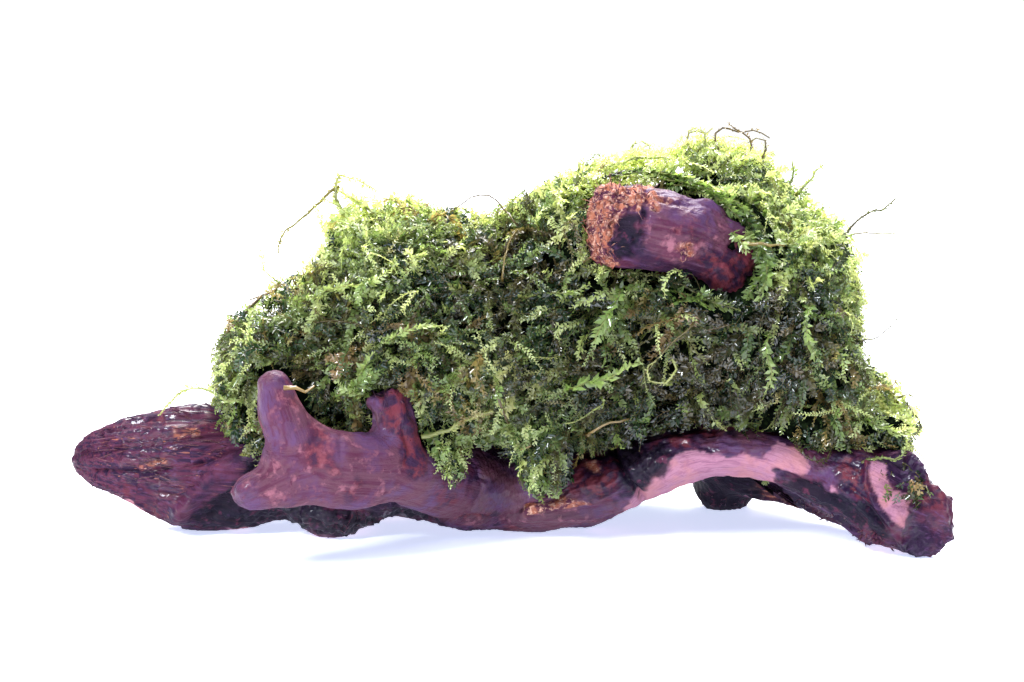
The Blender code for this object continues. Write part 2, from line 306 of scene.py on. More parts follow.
def grain_of(points):
    """Each point in limb coordinates: millimetres along the grain, and two ways across it."""
    total = np.zeros((len(points), 3))
    weights = np.zeros(len(points))
    start = 0.0
    for limb in LIMBS:
        rows = smooth_line(limb, GRAIN_STEPS)
        line = rows[:, :3] * MM
        radii = rows[:, 3] * MM
        steps = np.linalg.norm(np.diff(line, axis=0), axis=1)
        along = np.concatenate(((0,), np.cumsum(steps)))
        ways = np.diff(line, axis=0) / steps[:, None]
        sides = []
        side = np.cross(ways[0], (0.3, 0.2, 0.93))
        for way in ways:
            side = side - way * (side @ way)
            side = side / np.linalg.norm(side)
            sides.append(side)
        sides.append(side)
        best = np.full(len(points), np.inf)
        found = np.zeros((len(points), 3))
        for i, way in enumerate(ways):
            t = np.clip((points - line[i]) @ way, 0, steps[i])
            share = t / steps[i]
            offset = points - line[i] - t[:, None] * way
            radius = radii[i] + (radii[i + 1] - radii[i]) * share
            distance = np.linalg.norm(offset, axis=1) / radius
            nearer = distance < best
            best = np.where(nearer, distance, best)
            across = sides[i] * (1 - share[nearer])[:, None] + sides[i + 1] * share[nearer][:, None]
            stretch = radii.mean() / radius[nearer]
            found[nearer, 0] = along[i] + t[nearer]
            found[nearer, 1] = (offset[nearer] * across).sum(axis=1) * stretch
            found[nearer, 2] = (offset[nearer] * np.cross(way, across)).sum(axis=1) * stretch
        found[:, 0] += start
        start += along[-1] + 0.02
        weight = 1 / (0.2 + best) ** 8
        total += found * weight[:, None]
        weights += weight
    return total / weights[:, None] / MM


def distance_to_line(places, line):
    """Distance of each place in the picture to a line of pixels."""
    line = np.array(line, float)
    best = np.full(len(places), np.inf)
    for start, end in zip(line, line[1:]):
        way = end - start
        t = np.clip((places - start) @ way / max(way @ way, 1e-9), 0, 1)
        best = np.minimum(best, np.linalg.norm(places - start - t[:, None] * way, axis=1))
    return best


def inside_outline(places, outline):
    """How deep each place lies inside a closed outline of pixels. Outside, it is below zero."""
    outline = np.array(outline, float)
    closed = np.concatenate((outline, outline[:1]))
    inside = np.zeros(len(places), bool)
    for (x0, y0), (x1, y1) in zip(closed, closed[1:]):
        crosses = (y0 > places[:, 1]) != (y1 > places[:, 1])
        reach = x0 + (places[:, 1] - y0) * (x1 - x0) / (y1 - y0 if y1 != y0 else 1)
        inside ^= crosses & (places[:, 0] < reach)
    distance = distance_to_line(places, closed)
    return np.where(inside, distance, -distance)


# Relief of the wood, traced in the picture: part, line of pixels, half width in pixels, height in mm.
RELIEF = (
    # Root end: splinter layers, the smooth ridge and the dark facet under it.
    ("main", ((252, 452), (224, 468), (205, 486), (178, 514)), 7, 1.5),
    ("main", ((262, 470), (242, 490), (216, 514)), 9, -1.6),
    ("main", ((190, 482), (206, 496), (200, 508)), 7, -1.0),
    ("main", ((84, 452), (130, 447), (180, 440), (232, 432)), 2, -0.9),
    ("main", ((96, 440), (140, 430), (190, 428), (235, 424)), 2.5, 0.5),
    ("main", ((95, 470), (150, 472), (200, 464), (240, 448)), 2, -1.0),
    ("main", ((108, 462), (150, 458), (196, 450), (236, 440)), 2, 0.5),
    ("main", ((120, 484), (160, 494), (195, 500)), 2, -0.7),
    ("main", ((110, 431), (150, 420), (200, 417)), 2, -0.7),
    ("main", ((150, 480), (175, 470), (215, 455)), 2.5, 0.6),
    ("main", ((128, 441), (170, 435), (226, 430)), 1.6, -0.6),
    # Wet clump on the floor behind the antler.
    ("main", ((292, 520), (312, 512), (334, 514), (348, 524)), 5, 0.8),
    # Trunk: ledge, rolled lip, furrow, slits, knot and crevice.
    ("main", ((396, 514), (424, 516), (444, 512)), 5, -1.0),
    ("main", ((440, 519), (456, 509), (480, 511), (516, 519), (560, 520), (600, 514), (630, 500)), 2.5, 0.6),
    ("main", ((458, 515), (500, 517), (560, 515), (600, 508), (625, 495)), 4, -0.5),
    ("main", ((440, 522), (500, 530), (560, 530), (600, 524), (636, 504)), 5, 0.5),
    ("main", ((520, 513), (530, 506), (546, 504), (560, 498), (566, 491)), 1.8, -1.3),
    ("main", ((540, 499), (556, 491), (566, 486)), 1.5, -1.0),
    ("main", ((526, 507), (528, 507)), 3, -0.8),
    ("main", ((522, 517), (548, 510), (566, 502), (580, 500)), 2.5, 0.5),
    ("main", ((458, 466), (476, 476), (486, 480)), 1.8, -0.4),
    ("main", ((494, 478), (486, 490), (480, 502)), 1.8, -0.4),
    ("main", ((578, 470), (584, 462), (598, 462), (606, 472), (602, 484), (590, 486)), 3.5, 0.5),
    ("main", ((588, 475), (590, 477)), 5, 0.7),
    ("main", ((604, 488), (618, 480), (622, 466)), 2, 0.6),
    ("main", ((596, 498), (612, 492), (624, 482)), 1.8, -0.6),
    ("main", ((612, 446), (619, 462), (630, 482), (642, 496)), 3, -1.8),
    ("main", ((636, 452), (640, 466), (650, 478)), 2, 0.6),
    ("main", ((652, 450), (660, 462), (656, 474)), 2, -0.5),
    ("main", ((640, 447), (664, 441), (690, 440)), 3, 0.6),
    ("main", ((676, 430), (696, 426)), 5, -0.8),
    # Arch: its thin lower lip and the strips that run down to the foot.
    ("main", ((614, 519), (648, 497), (692, 482), (735, 474), (780, 480), (820, 497), (862, 517), (892, 542)), 2, 0.5),
    ("main", ((700, 446), (716, 453), (724, 460), (764, 462), (774, 450)), 2, -0.4),
    ("main", ((775, 470), (820, 490), (866, 522)), 3, -0.8),
    ("main", ((842, 488), (866, 512), (892, 538)), 2, 0.8),
    ("main", ((850, 486), (872, 508), (896, 536)), 2, -0.8),
    ("main", ((800, 464), (836, 486), (876, 524)), 2, 0.5),
    ("main", ((826, 458), (850, 462), (862, 470)), 4, -0.6),
    # Notches in the torn edge under the arch.
    ("main", ((786, 500), (790, 506)), 5, -1.4),
    ("main", ((812, 510), (818, 516)), 5, -0.8),
    ("main", ((836, 524), (850, 536), (862, 543)), 7, -1.8),
    ("main", ((874, 540), (880, 546)), 4, -1.0),
    # Foot: the left lip, the hollow face, the beaded right rim and the hollow over it.
    ("main", ((866, 464), (866, 484), (878, 508), (894, 534), (904, 549)), 2.5, 1.3),
    ("main", ((903, 476), (916, 504), (918, 532)), 17, -2.2),
    ("main", ((876, 448), (890, 453), (902, 460)), 7, -1.6),
    ("main", ((872, 441), (888, 440), (902, 445)), 3, 0.6),
    ("main", ((903, 447), (920, 466), (930, 484), (944, 500), (947, 534), (938, 550), (916, 551)), 4, 1.2),
    # Antler: the notches of its prong, its crease and dents.
    ("antler", ((364, 412), (369, 425)), 6, -2.0),
    ("antler", ((379, 392), (383, 396)), 4, -1.2),
    ("antler", ((410, 400), (416, 414)), 6, -1.2),
    ("antler", ((340, 436), (341, 458)), 2.5, -0.4),
    ("antler", ((300, 462), (320, 470)), 7, -0.4),
    ("antler", ((262, 476), (280, 470), (300, 474)), 4, -0.4),
    ("antler", ((388, 396), (392, 410), (398, 424)), 4, -0.5),
    ("antler", ((372, 401), (384, 398), (392, 392)), 3, 0.7),
    ("antler", ((404, 430), (410, 450), (404, 470)), 3, -0.6),
    # Stub: its upper edge at the bend, the lip of the broken face and its scar.
    ("main", ((708, 206), (728, 218), (745, 238), (755, 258)), 10, 2.2),
    ("main", ((676, 243), (686, 238), (696, 246), (692, 257), (680, 257), (675, 248)), 2, 0.5),
    ("main", ((646, 190), (648, 215), (644, 250)), 2.5, -0.6),
    ("main", ((656, 200), (700, 208), (736, 228)), 1.8, -0.35),
    ("main", ((656, 228), (700, 232), (740, 252)), 1.8, -0.35),
    ("main", ((700, 262), (730, 262), (748, 276)), 3, -0.6),
)

# Outlines in the picture: mask, part, outline of pixels, softness in pixels, raggedness in pixels.
PATCHES = (
    ("mauve", "antler", ((230, 350), (460, 350), (470, 530), (220, 530)), 3, 3),
    ("mauve", "main", ((400, 504), (440, 476), (470, 440), (516, 436), (540, 470), (566, 492), (600, 500), (642, 494),
                       (600, 528), (540, 534), (440, 524), (400, 520)), 4, 9),
    # The stub's upper half: partly its mauve skin and partly painted sheen where the light falls on its top.
    ("mauve", "main", ((642, 172), (705, 174), (756, 205), (762, 250), (700, 236), (660, 232), (640, 225)), 14, 8),
    ("mauve", "main", ((640, 436), (760, 425), (785, 445), (770, 466), (735, 458), (700, 446), (670, 452)), 4, 6),
    ("mauve", "main", ((808, 452), (834, 470), (842, 492), (806, 484), (800, 474)), 4, 6),
    ("warm", "main", ((652, 212), (690, 216), (730, 232), (756, 262), (750, 290), (712, 290), (690, 268), (652, 266)),
     10, 9),
    ("warm", "main", ((560, 450), (606, 452), (618, 478), (604, 500), (572, 498), (556, 480)), 4, 7),
    ("warm", "main", ((452, 508), (520, 512), (600, 506), (596, 520), (520, 526), (456, 522)), 3, 4),
    ("warm", "antler", ((262, 372), (292, 374), (312, 412), (370, 440), (420, 470), (390, 500), (300, 500), (240, 496),
                        (256, 470), (284, 446), (272, 400)), 8, 12),
    ("dry", "main", ((610, 522), (628, 502), (646, 482), (658, 468), (684, 453), (694, 449), (704, 455), (721, 453),
                     (727, 459), (746, 454), (762, 458), (767, 449), (777, 441), (800, 453), (810, 464), (807, 473),
                     (790, 474), (771, 469), (776, 480), (745, 477), (716, 479), (692, 484), (668, 491), (648, 499),
                     (630, 509)), 1.2, 3),
    ("dry", "main", ((869, 463), (886, 464), (886, 476), (893, 488), (904, 494), (912, 492), (915, 500), (908, 512),
                     (907, 522), (905, 531), (892, 520), (880, 504), (870, 482)), 1.2, 2.5),
    ("dry", "main", ((829, 484), (836, 487), (838, 494), (830, 494)), 1.2, 2),
    ("torn", "main", ((140, 462), (165, 459), (166, 467), (140, 468)), 2, 5),
    ("torn", "main", ((174, 430), (198, 427), (199, 435), (176, 437)), 2, 5),
    ("torn", "main", ((170, 449), (192, 447), (192, 451), (170, 453)), 2, 4),
    ("torn", "main", ((524, 508), (546, 505), (564, 497), (580, 502), (592, 503), (576, 507), (548, 511), (524, 516)),
     1.5, 2),
    ("torn", "main", ((582, 464), (598, 462), (602, 476), (592, 470)), 2, 3),
    ("torn", "main", ((580, 190), (600, 178), (642, 180), (655, 197), (642, 206), (622, 213), (613, 232), (607, 248),
                      (614, 264), (596, 262), (580, 225)), 2, 7),
    ("torn", "main", ((646, 192), (668, 198), (662, 206), (650, 204)), 4, 8),
    ("torn", "main", ((677, 244), (690, 241), (694, 256), (680, 258)), 3, 3),
    ("torn", "rear", ((748, 486), (780, 480), (840, 500), (895, 536), (895, 550), (830, 530), (790, 505), (755, 500)),
     3, 6),
    # Dark: near-black painted shade in the stub's broken pit, under the root end and the wet clump, in the trunk's
    # crevice, under the arch and over the rear foot, where the wet wood is partly dark of its own too.
    ("dark", "main", ((624, 216), (640, 208), (649, 212), (648, 226), (641, 241), (628, 256), (614, 254),
                      (611, 244), (617, 229)), 5, 12),
    ("dark", "main", ((222, 492), (250, 462), (262, 456), (300, 500), (345, 508), (440, 510), (445, 522), (345, 540),
                      (290, 528), (215, 532), (188, 524)), 5, 7),
    ("dark", "main", ((606, 444), (636, 446), (672, 450), (668, 470), (650, 482), (640, 496), (622, 484)), 3, 5),
    ("dark", "main", ((776, 478), (812, 482), (842, 496), (868, 500), (896, 542), (860, 530), (820, 506)), 3, 4),
    ("dark", "rear", ((680, 470), (760, 470), (760, 520), (680, 520)), 4, 5),
    ("red", "antler", ((376, 396), (404, 384), (416, 410), (432, 445), (426, 482), (405, 476), (398, 440), (382, 425)),
     3, 4),
    ("red", "main", ((700, 258), (745, 240), (764, 262), (756, 304), (715, 296)), 5, 5),
    ("red", "main", ((560, 444), (612, 444), (620, 474), (612, 500), (586, 498), (566, 486)), 4, 7),
    ("red", "main", ((650, 440), (710, 416), (720, 436), (680, 448), (655, 456)), 4, 8),
    ("red", "main", ((842, 456), (866, 462), (866, 488), (876, 508), (856, 496), (840, 486)), 3, 5),
    ("red", "main", ((455, 512), (500, 513), (500, 519), (455, 518)), 2, 3),
)

# Outlines in the picture that the foot and the root end are drawn in to.
FOOT_OUTLINE = (
    (860, 400), (880, 436), (900, 443), (922, 465), (932, 484), (950, 499), (952, 514), (950, 536), (944, 550),
    (937, 558), (915, 555), (894, 547), (860, 540),
)
CLUMP_OUTLINE = ((282, 506), (300, 503), (350, 510), (440, 506), (444, 518), (368, 528), (345, 537), (300, 532))
ROOT_OUTLINE = (
    (260, 400), (240, 424), (225, 410), (200, 406), (165, 407), (120, 422), (90, 436), (79, 448), (75, 459),
    (78, 469), (95, 483), (130, 500), (165, 523), (190, 530), (215, 528), (260, 521),
)


def drawn_in(points, outline, chosen, margin=0.0, side=1):
    """The chosen points moved in the picture's plane until it shows them inside an outline, or outside for side -1."""
    places = to_picture(points)
    short = margin - side * inside_outline(places, outline)
    moved = np.nonzero(chosen & (short > 0))[0]
    corners = np.array(outline, float)
    best = np.full(len(moved), np.inf)
    nearest = np.zeros((len(moved), 2))
    for start, end in zip(corners, np.roll(corners, -1, axis=0)):
        way = end - start
        t = np.clip((places[moved] - start) @ way / (way @ way), 0, 1)
        there = start + t[:, None] * way
        away = np.linalg.norm(places[moved] - there, axis=1)
        nearer = away < best
        best[nearer] = away[nearer]
        nearest[nearer] = there[nearer]
    outside = (short[moved] > margin)[:, None]
    way = np.where(outside, 1, -1) * (nearest - places[moved]) / np.maximum(best, 1e-6)[:, None]
    shift = way * short[moved][:, None]
    scale = np.linalg.norm(points[moved] - CAMERA_PLACE, axis=1) / PIXELS_PER_SLOPE
    points = points.copy()
    points[moved, 0] += shift[:, 0] * scale
    points[moved] -= (shift[:, 1] * scale)[:, None] * UPWARD
    return points


def terraced(values, edge):
    """Values gathered into steps with steep risers, as in torn layers of wood."""
    low = np.floor(values)
    return low + smoothstep(values - low, 0.5 - edge, 0.5 + edge)


def visible_from_camera(points, normals, triangles):
    """One where the picture shows the point, falling to nothing at the outline."""
    to_camera = CAMERA_PLACE - points
    to_camera /= np.linalg.norm(to_camera, axis=1)[:, None]
    facing = (normals * to_camera).sum(axis=1)
    seen = smoothstep(facing, -0.05, 0.15)
    tree = BVHTree.FromPolygons(points.tolist(), triangles.tolist())
    for index in np.nonzero(seen > 0)[0]:
        start = points[index] + to_camera[index] * 0.6 * MM + normals[index] * 0.3 * MM
        if tree.ray_cast(Vector(start), Vector(to_camera[index]))[0] is not None:
            seen[index] = 0
    return seen


def parts_of(points):
    """Which points belong to the antler, the rear leg and the rest, for tables that name the part."""
    antler = (points[:, 1] < -11.5 * MM) & (points[:, 0] < 0)
    rear = (points[:, 0] > 29.5 * MM) & (points[:, 1] > 6.1 * MM) & (points[:, 2] < 25.5 * MM)
    return {"antler": antler, "rear": rear, "main": ~(antler | rear)}


def carve_wood(settings):
    """The whole wood as carved points with triangles, grain and masks."""
    points, triangles, edges = fused_nodes(WOOD_NODES, 0.3 * MM, settings.voxel, settings.smoothing)
    places = to_picture(points)
    points = drawn_in(points, FOOT_OUTLINE, (places[:, 0] > 870) & (points[:, 1] < 0))
    points = drawn_in(points, ROOT_OUTLINE, places[:, 0] < 250)
    points = relaxed(points, edges, 16)
    normals = normals_of(points, triangles)
    grain = grain_of(points)
    seen = visible_from_camera(points, normals, triangles)
    parts = parts_of(points)
    places = to_picture(points)
    jitter = np.stack((noise(points / (1.6 * MM), 71), noise(points / (1.6 * MM), 72)), 1)
    jitter += 0.5 * np.stack((noise(points / (0.7 * MM), 73), noise(points / (0.7 * MM), 74)), 1)
    masks = {name: np.zeros(len(points)) for name in ("mauve", "warm", "dry", "torn", "dark", "red", "wet", "split")}
    for name, part, outline, softness, raggedness in PATCHES:
        depth = inside_outline(places + jitter * raggedness, outline)
        mask = smoothstep(depth, -softness, softness) * seen * parts[part]
        masks[name] = np.maximum(masks[name], mask)
    hidden = 1 - seen
    masks["mauve"] = np.maximum(masks["mauve"], hidden * smoothstep(layered(points / (14 * MM), 3, 5), 0.0, 0.5))
    masks["mauve"] = np.maximum(masks["mauve"], hidden * parts["antler"])
    masks["dry"] = np.maximum(masks["dry"], hidden * smoothstep(layered(points / (11 * MM), 3, 9), 0.5, 0.7))
    masks["red"] = np.maximum(masks["red"], 0.8 * smoothstep(layered(points / (6 * MM), 3, 13), 0.3, 0.9))

    root_end = smoothstep(-points[:, 0], 40 * MM, 58 * MM)
    foot_rim = smoothstep(9 - inside_outline(places, FOOT_OUTLINE), -4, 4) * (places[:, 0] > 915) * parts["main"]
    smooth_antler = smoothstep(-points[:, 1], 11 * MM, 16 * MM) * smoothstep(-points[:, 0], 2 * MM, 8 * MM)
    split = np.maximum(root_end, 0.8 * parts["rear"])
    ridge = distance_to_line(places, ((262, 440), (236, 462), (208, 486), (182, 516))) / 11
    split *= 1 - 0.85 * np.exp(-ridge * ridge) * seen * (places[:, 0] < 280)
    masks["split"] = split
    height = 0.45 * layered(points / (9 * MM), 2, 3) * (1 - 0.5 * smooth_antler)
    height += 0.18 * layered(points / (2.6 * MM), 2, 6) * (1 - 0.7 * masks["dry"]) * (1 - 0.85 * split)
    layers = terraced(1.8 * layered(grain * (0.012, 0.22, 0.22), 2, 17), 0.2)
    height += 0.35 * layers * split
    fibres = ridged(grain * (0.03, 0.80, 0.80), 2, 11)
    height += fibres * (0.04 + (settings.fibre_relief / MM - 0.04) * split) * (1 - 0.9 * smooth_antler)
    wrinkles = ridged(grain * (0.28, 0.60, 0.60) + 0.6 * jitter[:, :1], 2, 21)
    height += 0.20 * wrinkles * (1 - split) * (1 - 0.85 * smooth_antler) * (1 - 0.8 * masks["dry"])
    crumbs = masks["dark"] * (points[:, 0] < 0) + foot_rim
    height += 0.45 * np.minimum(crumbs, 1) * ridged(points / (2.0 * MM), 2, 51)
    beaded = smoothstep(inside_outline(places, CLUMP_OUTLINE), -4, 4) * seen * parts["main"]
    height += 0.55 * beaded * ridged(points / (1.5 * MM), 2, 81)
    crinkled = masks["dark"] * (points[:, 0] > 0) * (points[:, 0] < 40 * MM) * (points[:, 2] < 50 * MM)
    height += 0.40 * crinkled * ridged(points / (1.8 * MM), 2, 61)
    broken = masks["torn"] * (points[:, 2] > 50 * MM)
    height += broken * 0.9 * ridged(points / (2.0 * MM), 3, 41) - 1.0 * masks["dark"] * (points[:, 2] > 50 * MM)
    for part, line, half_width, rise in RELIEF:
        away = distance_to_line(places + 0.2 * half_width * jitter, line) / half_width
        height += rise * np.exp(-away * away) * seen * parts[part]
    points = points + normals * (height * MM)[:, None]
    points[:, 2] = np.maximum(points[:, 2], 0.02 * MM)
    masks["wet"] = smoothstep(layered(points / (7 * MM), 3, 31), -0.5, 0.4)
    under = smoothstep(-normals_of(points, triangles)[:, 2], 0.1, 0.7) * (1 - beaded)
    masks["wet"] = np.maximum(masks["wet"], beaded)
    trunk_front = smoothstep(points[:, 0], -12 * MM, -4 * MM) * smoothstep(-points[:, 0], -62 * MM, -50 * MM)
    masks["wet"] = np.maximum(masks["wet"], 0.9 * trunk_front)
    masks["wet"] *= 1 - 0.6 * smoothstep(points[:, 2], 38 * MM, 48 * MM)
    masks["wet"] *= (1 - 0.55 * parts["antler"] - 0.8 * parts["rear"]) * (1 - 0.8 * under)
    return points, triangles, grain, masks


def closed_pieces(points, triangles, labels, count):
    """Parts the body's triangles by label. Each open rim is closed with a fan."""
    pieces = []
    for label in range(count):
        chosen = triangles[labels == label]
        used, local = np.unique(chosen, return_inverse=True)
        faces = local.reshape(-1, 3)
        place = points[used].copy()
        ways = np.concatenate((faces[:, [0, 1]], faces[:, [1, 2]], faces[:, [2, 0]]))
        keys = ways[:, 0] * len(used) + ways[:, 1]
        back = ways[:, 1] * len(used) + ways[:, 0]
        rim = ways[~np.isin(keys, back)]
        following = {int(b): int(a) for a, b in rim}
        extra = []
        caps = []
        while following:
            first, after = following.popitem()
            loop = [first, after]
            while loop[-1] in following:
                loop.append(following.pop(loop[-1]))
            if loop[-1] == loop[0]:
                loop.pop()
            middle = len(used) + len(extra)
            extra.append(place[loop].mean(axis=0))
            caps += [(loop[i], loop[(i + 1) % len(loop)], middle) for i in range(len(loop))]
        if caps:
            place = np.concatenate((place, extra))
            faces = np.concatenate((faces, np.array(caps)))
        pieces.append((used, place, faces))
    return pieces


# Loose fibres and splinters of the wood: part, outline in the picture that they start in, how many, way,
# spread, shortest and greatest length in mm, radius in mm, and how orange they are.
SPLINTERS = (
    ("main", ((90, 476), (130, 498), (172, 520), (160, 528), (120, 507), (86, 488)), 70, (-0.2, -0.3, -0.8), 0.6, 0.6,
     1.8, 0.16, 0.1),
    ("main", ((584, 186), (640, 181), (655, 200), (616, 216), (612, 262), (596, 262), (582, 225)), 120,
     (-0.55, -0.65, 0.25), 0.9, 2.0, 5.5, 0.14, 1.0),
    ("main", ((677, 244), (690, 241), (694, 256), (680, 258)), 16, (0.2, -0.7, 0.3), 0.8, 1.2, 2.6, 0.09, 0.9),
    ("main", ((112, 418), (150, 405), (228, 405), (232, 414), (160, 416), (116, 428)), 34, (-0.9, -0.1, 0.35), 0.25,
     2.0, 5.0, 0.13, 0.0),
    ("main", ((76, 440), (112, 424), (116, 440), (96, 470), (76, 472)), 22, (-0.9, -0.3, 0.15), 0.4, 1.2, 3.0, 0.11, 0.1),
    ("main", ((100, 430), (230, 412), (244, 450), (190, 500), (100, 475)), 70, (-0.95, -0.25, 0.05), 0.16, 3.0, 8.0,
     0.13, 0.25),
    ("main", ((776, 488), (812, 502), (850, 520), (895, 540), (895, 554), (850, 548), (812, 526), (780, 508)), 150,
     (0.3, -0.2, -0.5), 0.7, 0.8, 2.0, 0.22, 0.2),
    ("rear", ((690, 490), (760, 500), (752, 516), (704, 512)), 24, (0.0, -0.5, -0.5), 0.7, 0.8, 1.8, 0.12, 0.1),
    ("antler", ((364, 388), (404, 386), (408, 410), (380, 412)), 22, (-0.5, -0.5, 0.5), 0.7, 1.0, 2.8, 0.12, 0.3),
    ("main", ((336, 510), (368, 512), (366, 530), (340, 532)), 18, (0.6, -0.6, -0.2), 0.5, 1.2, 3.2, 0.11, 0.1),
    ("main", ((520, 505), (566, 490), (572, 500), (540, 514)), 20, (0.9, -0.3, 0.25), 0.3, 1.5, 4.0, 0.10, 0.8),
)


def splinter_lines(rng, points, triangles, labels):
    """Lines of the loose fibres: points, orange share, radius and the wood node each belongs to."""
    tree = BVHTree.FromPolygons(points.tolist(), triangles.tolist())
    lines = []
    for part, outline, count, way, spread, short, long, radius, orange in SPLINTERS:
        low = np.min(outline, axis=0)
        high = np.max(outline, axis=0)
        places = [(rng.uniform(low[0], high[0]), rng.uniform(low[1], high[1])) for _ in range(count * 3)]
        inside = inside_outline(np.array(places), outline) > 0
        for u, v in [place for place, fits in zip(places, inside) if fits][:count]:
            start, _, index, _ = tree.ray_cast(Vector(CAMERA_PLACE), Vector(picture_ray(u, v)))
            if start is None or not parts_of(np.array((start,)))[part][0]:
                continue
            heading = Vector(way) + spread * Vector((rng.gauss(0, 1), rng.gauss(0, 1), rng.gauss(0, 1)))
            heading.normalize()
            curl = 0.25 * spread * Vector((rng.gauss(0, 1), rng.gauss(0, 1), rng.gauss(0, 1)))
            step = rng.uniform(short, long) * MM / 5
            point = start - heading * step
            line = [point]
            for _ in range(5):
                heading = (heading + curl).normalized()
                point = point + heading * step
                line.append(point)
            lines.append((line, orange * rng.uniform(0.5, 1.0), radius * MM * rng.uniform(0.7, 1.2), labels[index]))
    return lines


def splinter_tree(material):
    """Geometry nodes that give each chain of edges a tapered body of three sides."""
    tree = bpy.data.node_groups.new("wood_splinters", "GeometryNodeTree")
    face = tree.interface
    face.new_socket("Chains", in_out="INPUT", socket_type="NodeSocketGeometry")
    face.new_socket("Thickness", in_out="INPUT", socket_type="NodeSocketFloat").default_value = 1.0
    face.new_socket("Splinters", in_out="OUTPUT", socket_type="NodeSocketGeometry")
    sheet = NodeSheet(tree)
    given = sheet.add("NodeGroupInput")
    curves = sheet.add("GeometryNodeMeshToCurve")
    sheet.link(given.outputs["Chains"], curves.inputs["Mesh"])
    thick = sheet.add("GeometryNodeInputNamedAttribute", data_type="FLOAT")
    thick.inputs["Name"].default_value = "thick"
    profile = sheet.add("GeometryNodeCurvePrimitiveCircle")
    profile.inputs["Resolution"].default_value = 3
    profile.inputs["Radius"].default_value = 1.0
    tube = sheet.add("GeometryNodeCurveToMesh")
    tube.inputs["Fill Caps"].default_value = True
    sheet.link(curves.outputs["Curve"], tube.inputs["Curve"])
    sheet.link(profile.outputs["Curve"], tube.inputs["Profile Curve"])
    sheet.link(sheet.math("MULTIPLY", thick.outputs["Attribute"], given.outputs["Thickness"]), tube.inputs["Scale"])
    realized = sheet.add("GeometryNodeRealizeInstances")
    sheet.link(tube.outputs["Mesh"], realized.inputs["Geometry"])
    painted = sheet.add("GeometryNodeSetMaterial")
    painted.inputs["Material"].default_value = material
    sheet.link(realized.outputs["Geometry"], painted.inputs["Geometry"])
    result = sheet.add("NodeGroupOutput")
    sheet.link(painted.outputs["Geometry"], result.inputs["Splinters"])
    return tree


def splinter_part(name, lines, material, masks):
    """One wood node's loose fibres as points, triangles and columns like those of its carved body."""
    columns = {"torn": [], "thick": []}
    for line, orange, radius, _ in lines:
        columns["torn"] += [orange] * len(line)
        columns["thick"] += [radius * (1 - 0.8 * share**2) for share in np.linspace(0, 1, len(line))]
    chains = chain_object(name + "_chains", [line[0] for line in lines], columns)
    mesh = dressed(chains, splinter_tree(material), {"Thickness": 1.0})
    place, faces = mesh_arrays(mesh)
    place[:, 2] = np.maximum(place[:, 2], 0.02 * MM)
    values = {mask: np.zeros(len(place)) for mask in masks}
    values["torn"] = column(mesh, "torn")
    values["wet"] = np.ones(len(place))
    bpy.data.meshes.remove(mesh)
    return place, faces, {"grain": place / MM, **values}


def wood_labels(points, triangles):
    """Index of the wood node that each triangle belongs to."""
    middles = points[triangles].mean(axis=1) / MM
    labels = np.zeros(len(triangles), int)
    for name, low, high in FORKS:
        inside = ((middles > low) & (middles < high)).all(axis=1)
        labels[inside] = WOOD_NODES.index(name)
    return labels


class NodeSheet:
    """Adds nodes to a material or a node group, each placed to the right of the last."""

    def __init__(self, tree):
        self.tree = tree
        self.at = 0

    def add(self, kind, **values):
        node = self.tree.nodes.new(kind)
        node.location = (self.at, 0)
        self.at += 220
        for key, value in values.items():
            setattr(node, key, value)
        return node

    def link(self, source, target):
        self.tree.links.new(source, target)

    def feed(self, socket, value):
        """Links a socket to another, or sets its value."""
        if isinstance(value, bpy.types.NodeSocket):
            self.tree.links.new(value, socket)
        else:
            socket.default_value = value

    def attribute(self, name, vector=False):
        node = self.add("ShaderNodeAttribute", attribute_name=name)
        return node.outputs["Vector" if vector else "Fac"]

    def math(self, operation, first, second=0.0, clamp=False):
        node = self.add("ShaderNodeMath", operation=operation, use_clamp=clamp)
        self.feed(node.inputs[0], first)
        self.feed(node.inputs[1], second)
        return node.outputs[0]

    def mix(self, share, first, second):
        """A colour between two colours."""
        node = self.add("ShaderNodeMix", data_type="RGBA", clamp_factor=True)
        self.feed(node.inputs["Factor"], share)
        self.feed(node.inputs["A"], first)
        self.feed(node.inputs["B"], second)
        return node.outputs["Result"]

    def ranged(self, value, low, high, to_low=0.0, to_high=1.0):
        """The value read on a smooth range."""
        node = self.add("ShaderNodeMapRange", interpolation_type="SMOOTHSTEP")
        for key, number in (("From Min", low), ("From Max", high), ("To Min", to_low), ("To Max", to_high)):
            node.inputs[key].default_value = number
        self.feed(node.inputs["Value"], value)
        return node.outputs["Result"]

    def noise(self, vector, scale, stretch=(1, 1, 1), detail=3.0, roughness=0.55, distortion=0.0):
        mapping = self.add("ShaderNodeMapping")
        mapping.inputs["Scale"].default_value = stretch
        self.feed(mapping.inputs["Vector"], vector)
        node = self.add("ShaderNodeTexNoise")
        node.inputs["Scale"].default_value = scale
        node.inputs["Detail"].default_value = detail
        node.inputs["Roughness"].default_value = roughness
        node.inputs["Distortion"].default_value = distortion
        self.feed(node.inputs["Vector"], mapping.outputs["Vector"])
        return node.outputs["Fac"]


def new_material(name):
    """A material with an empty node sheet, its output and a principled shader."""
    material = bpy.data.materials.new(name)
    material.use_nodes = True
    material.node_tree.nodes.clear()
    sheet = NodeSheet(material.node_tree)
    shader = sheet.add("ShaderNodeBsdfPrincipled")
    output = sheet.add("ShaderNodeOutputMaterial")
    sheet.link(shader.outputs["BSDF"], output.inputs["Surface"])
    return material, sheet, shader, output


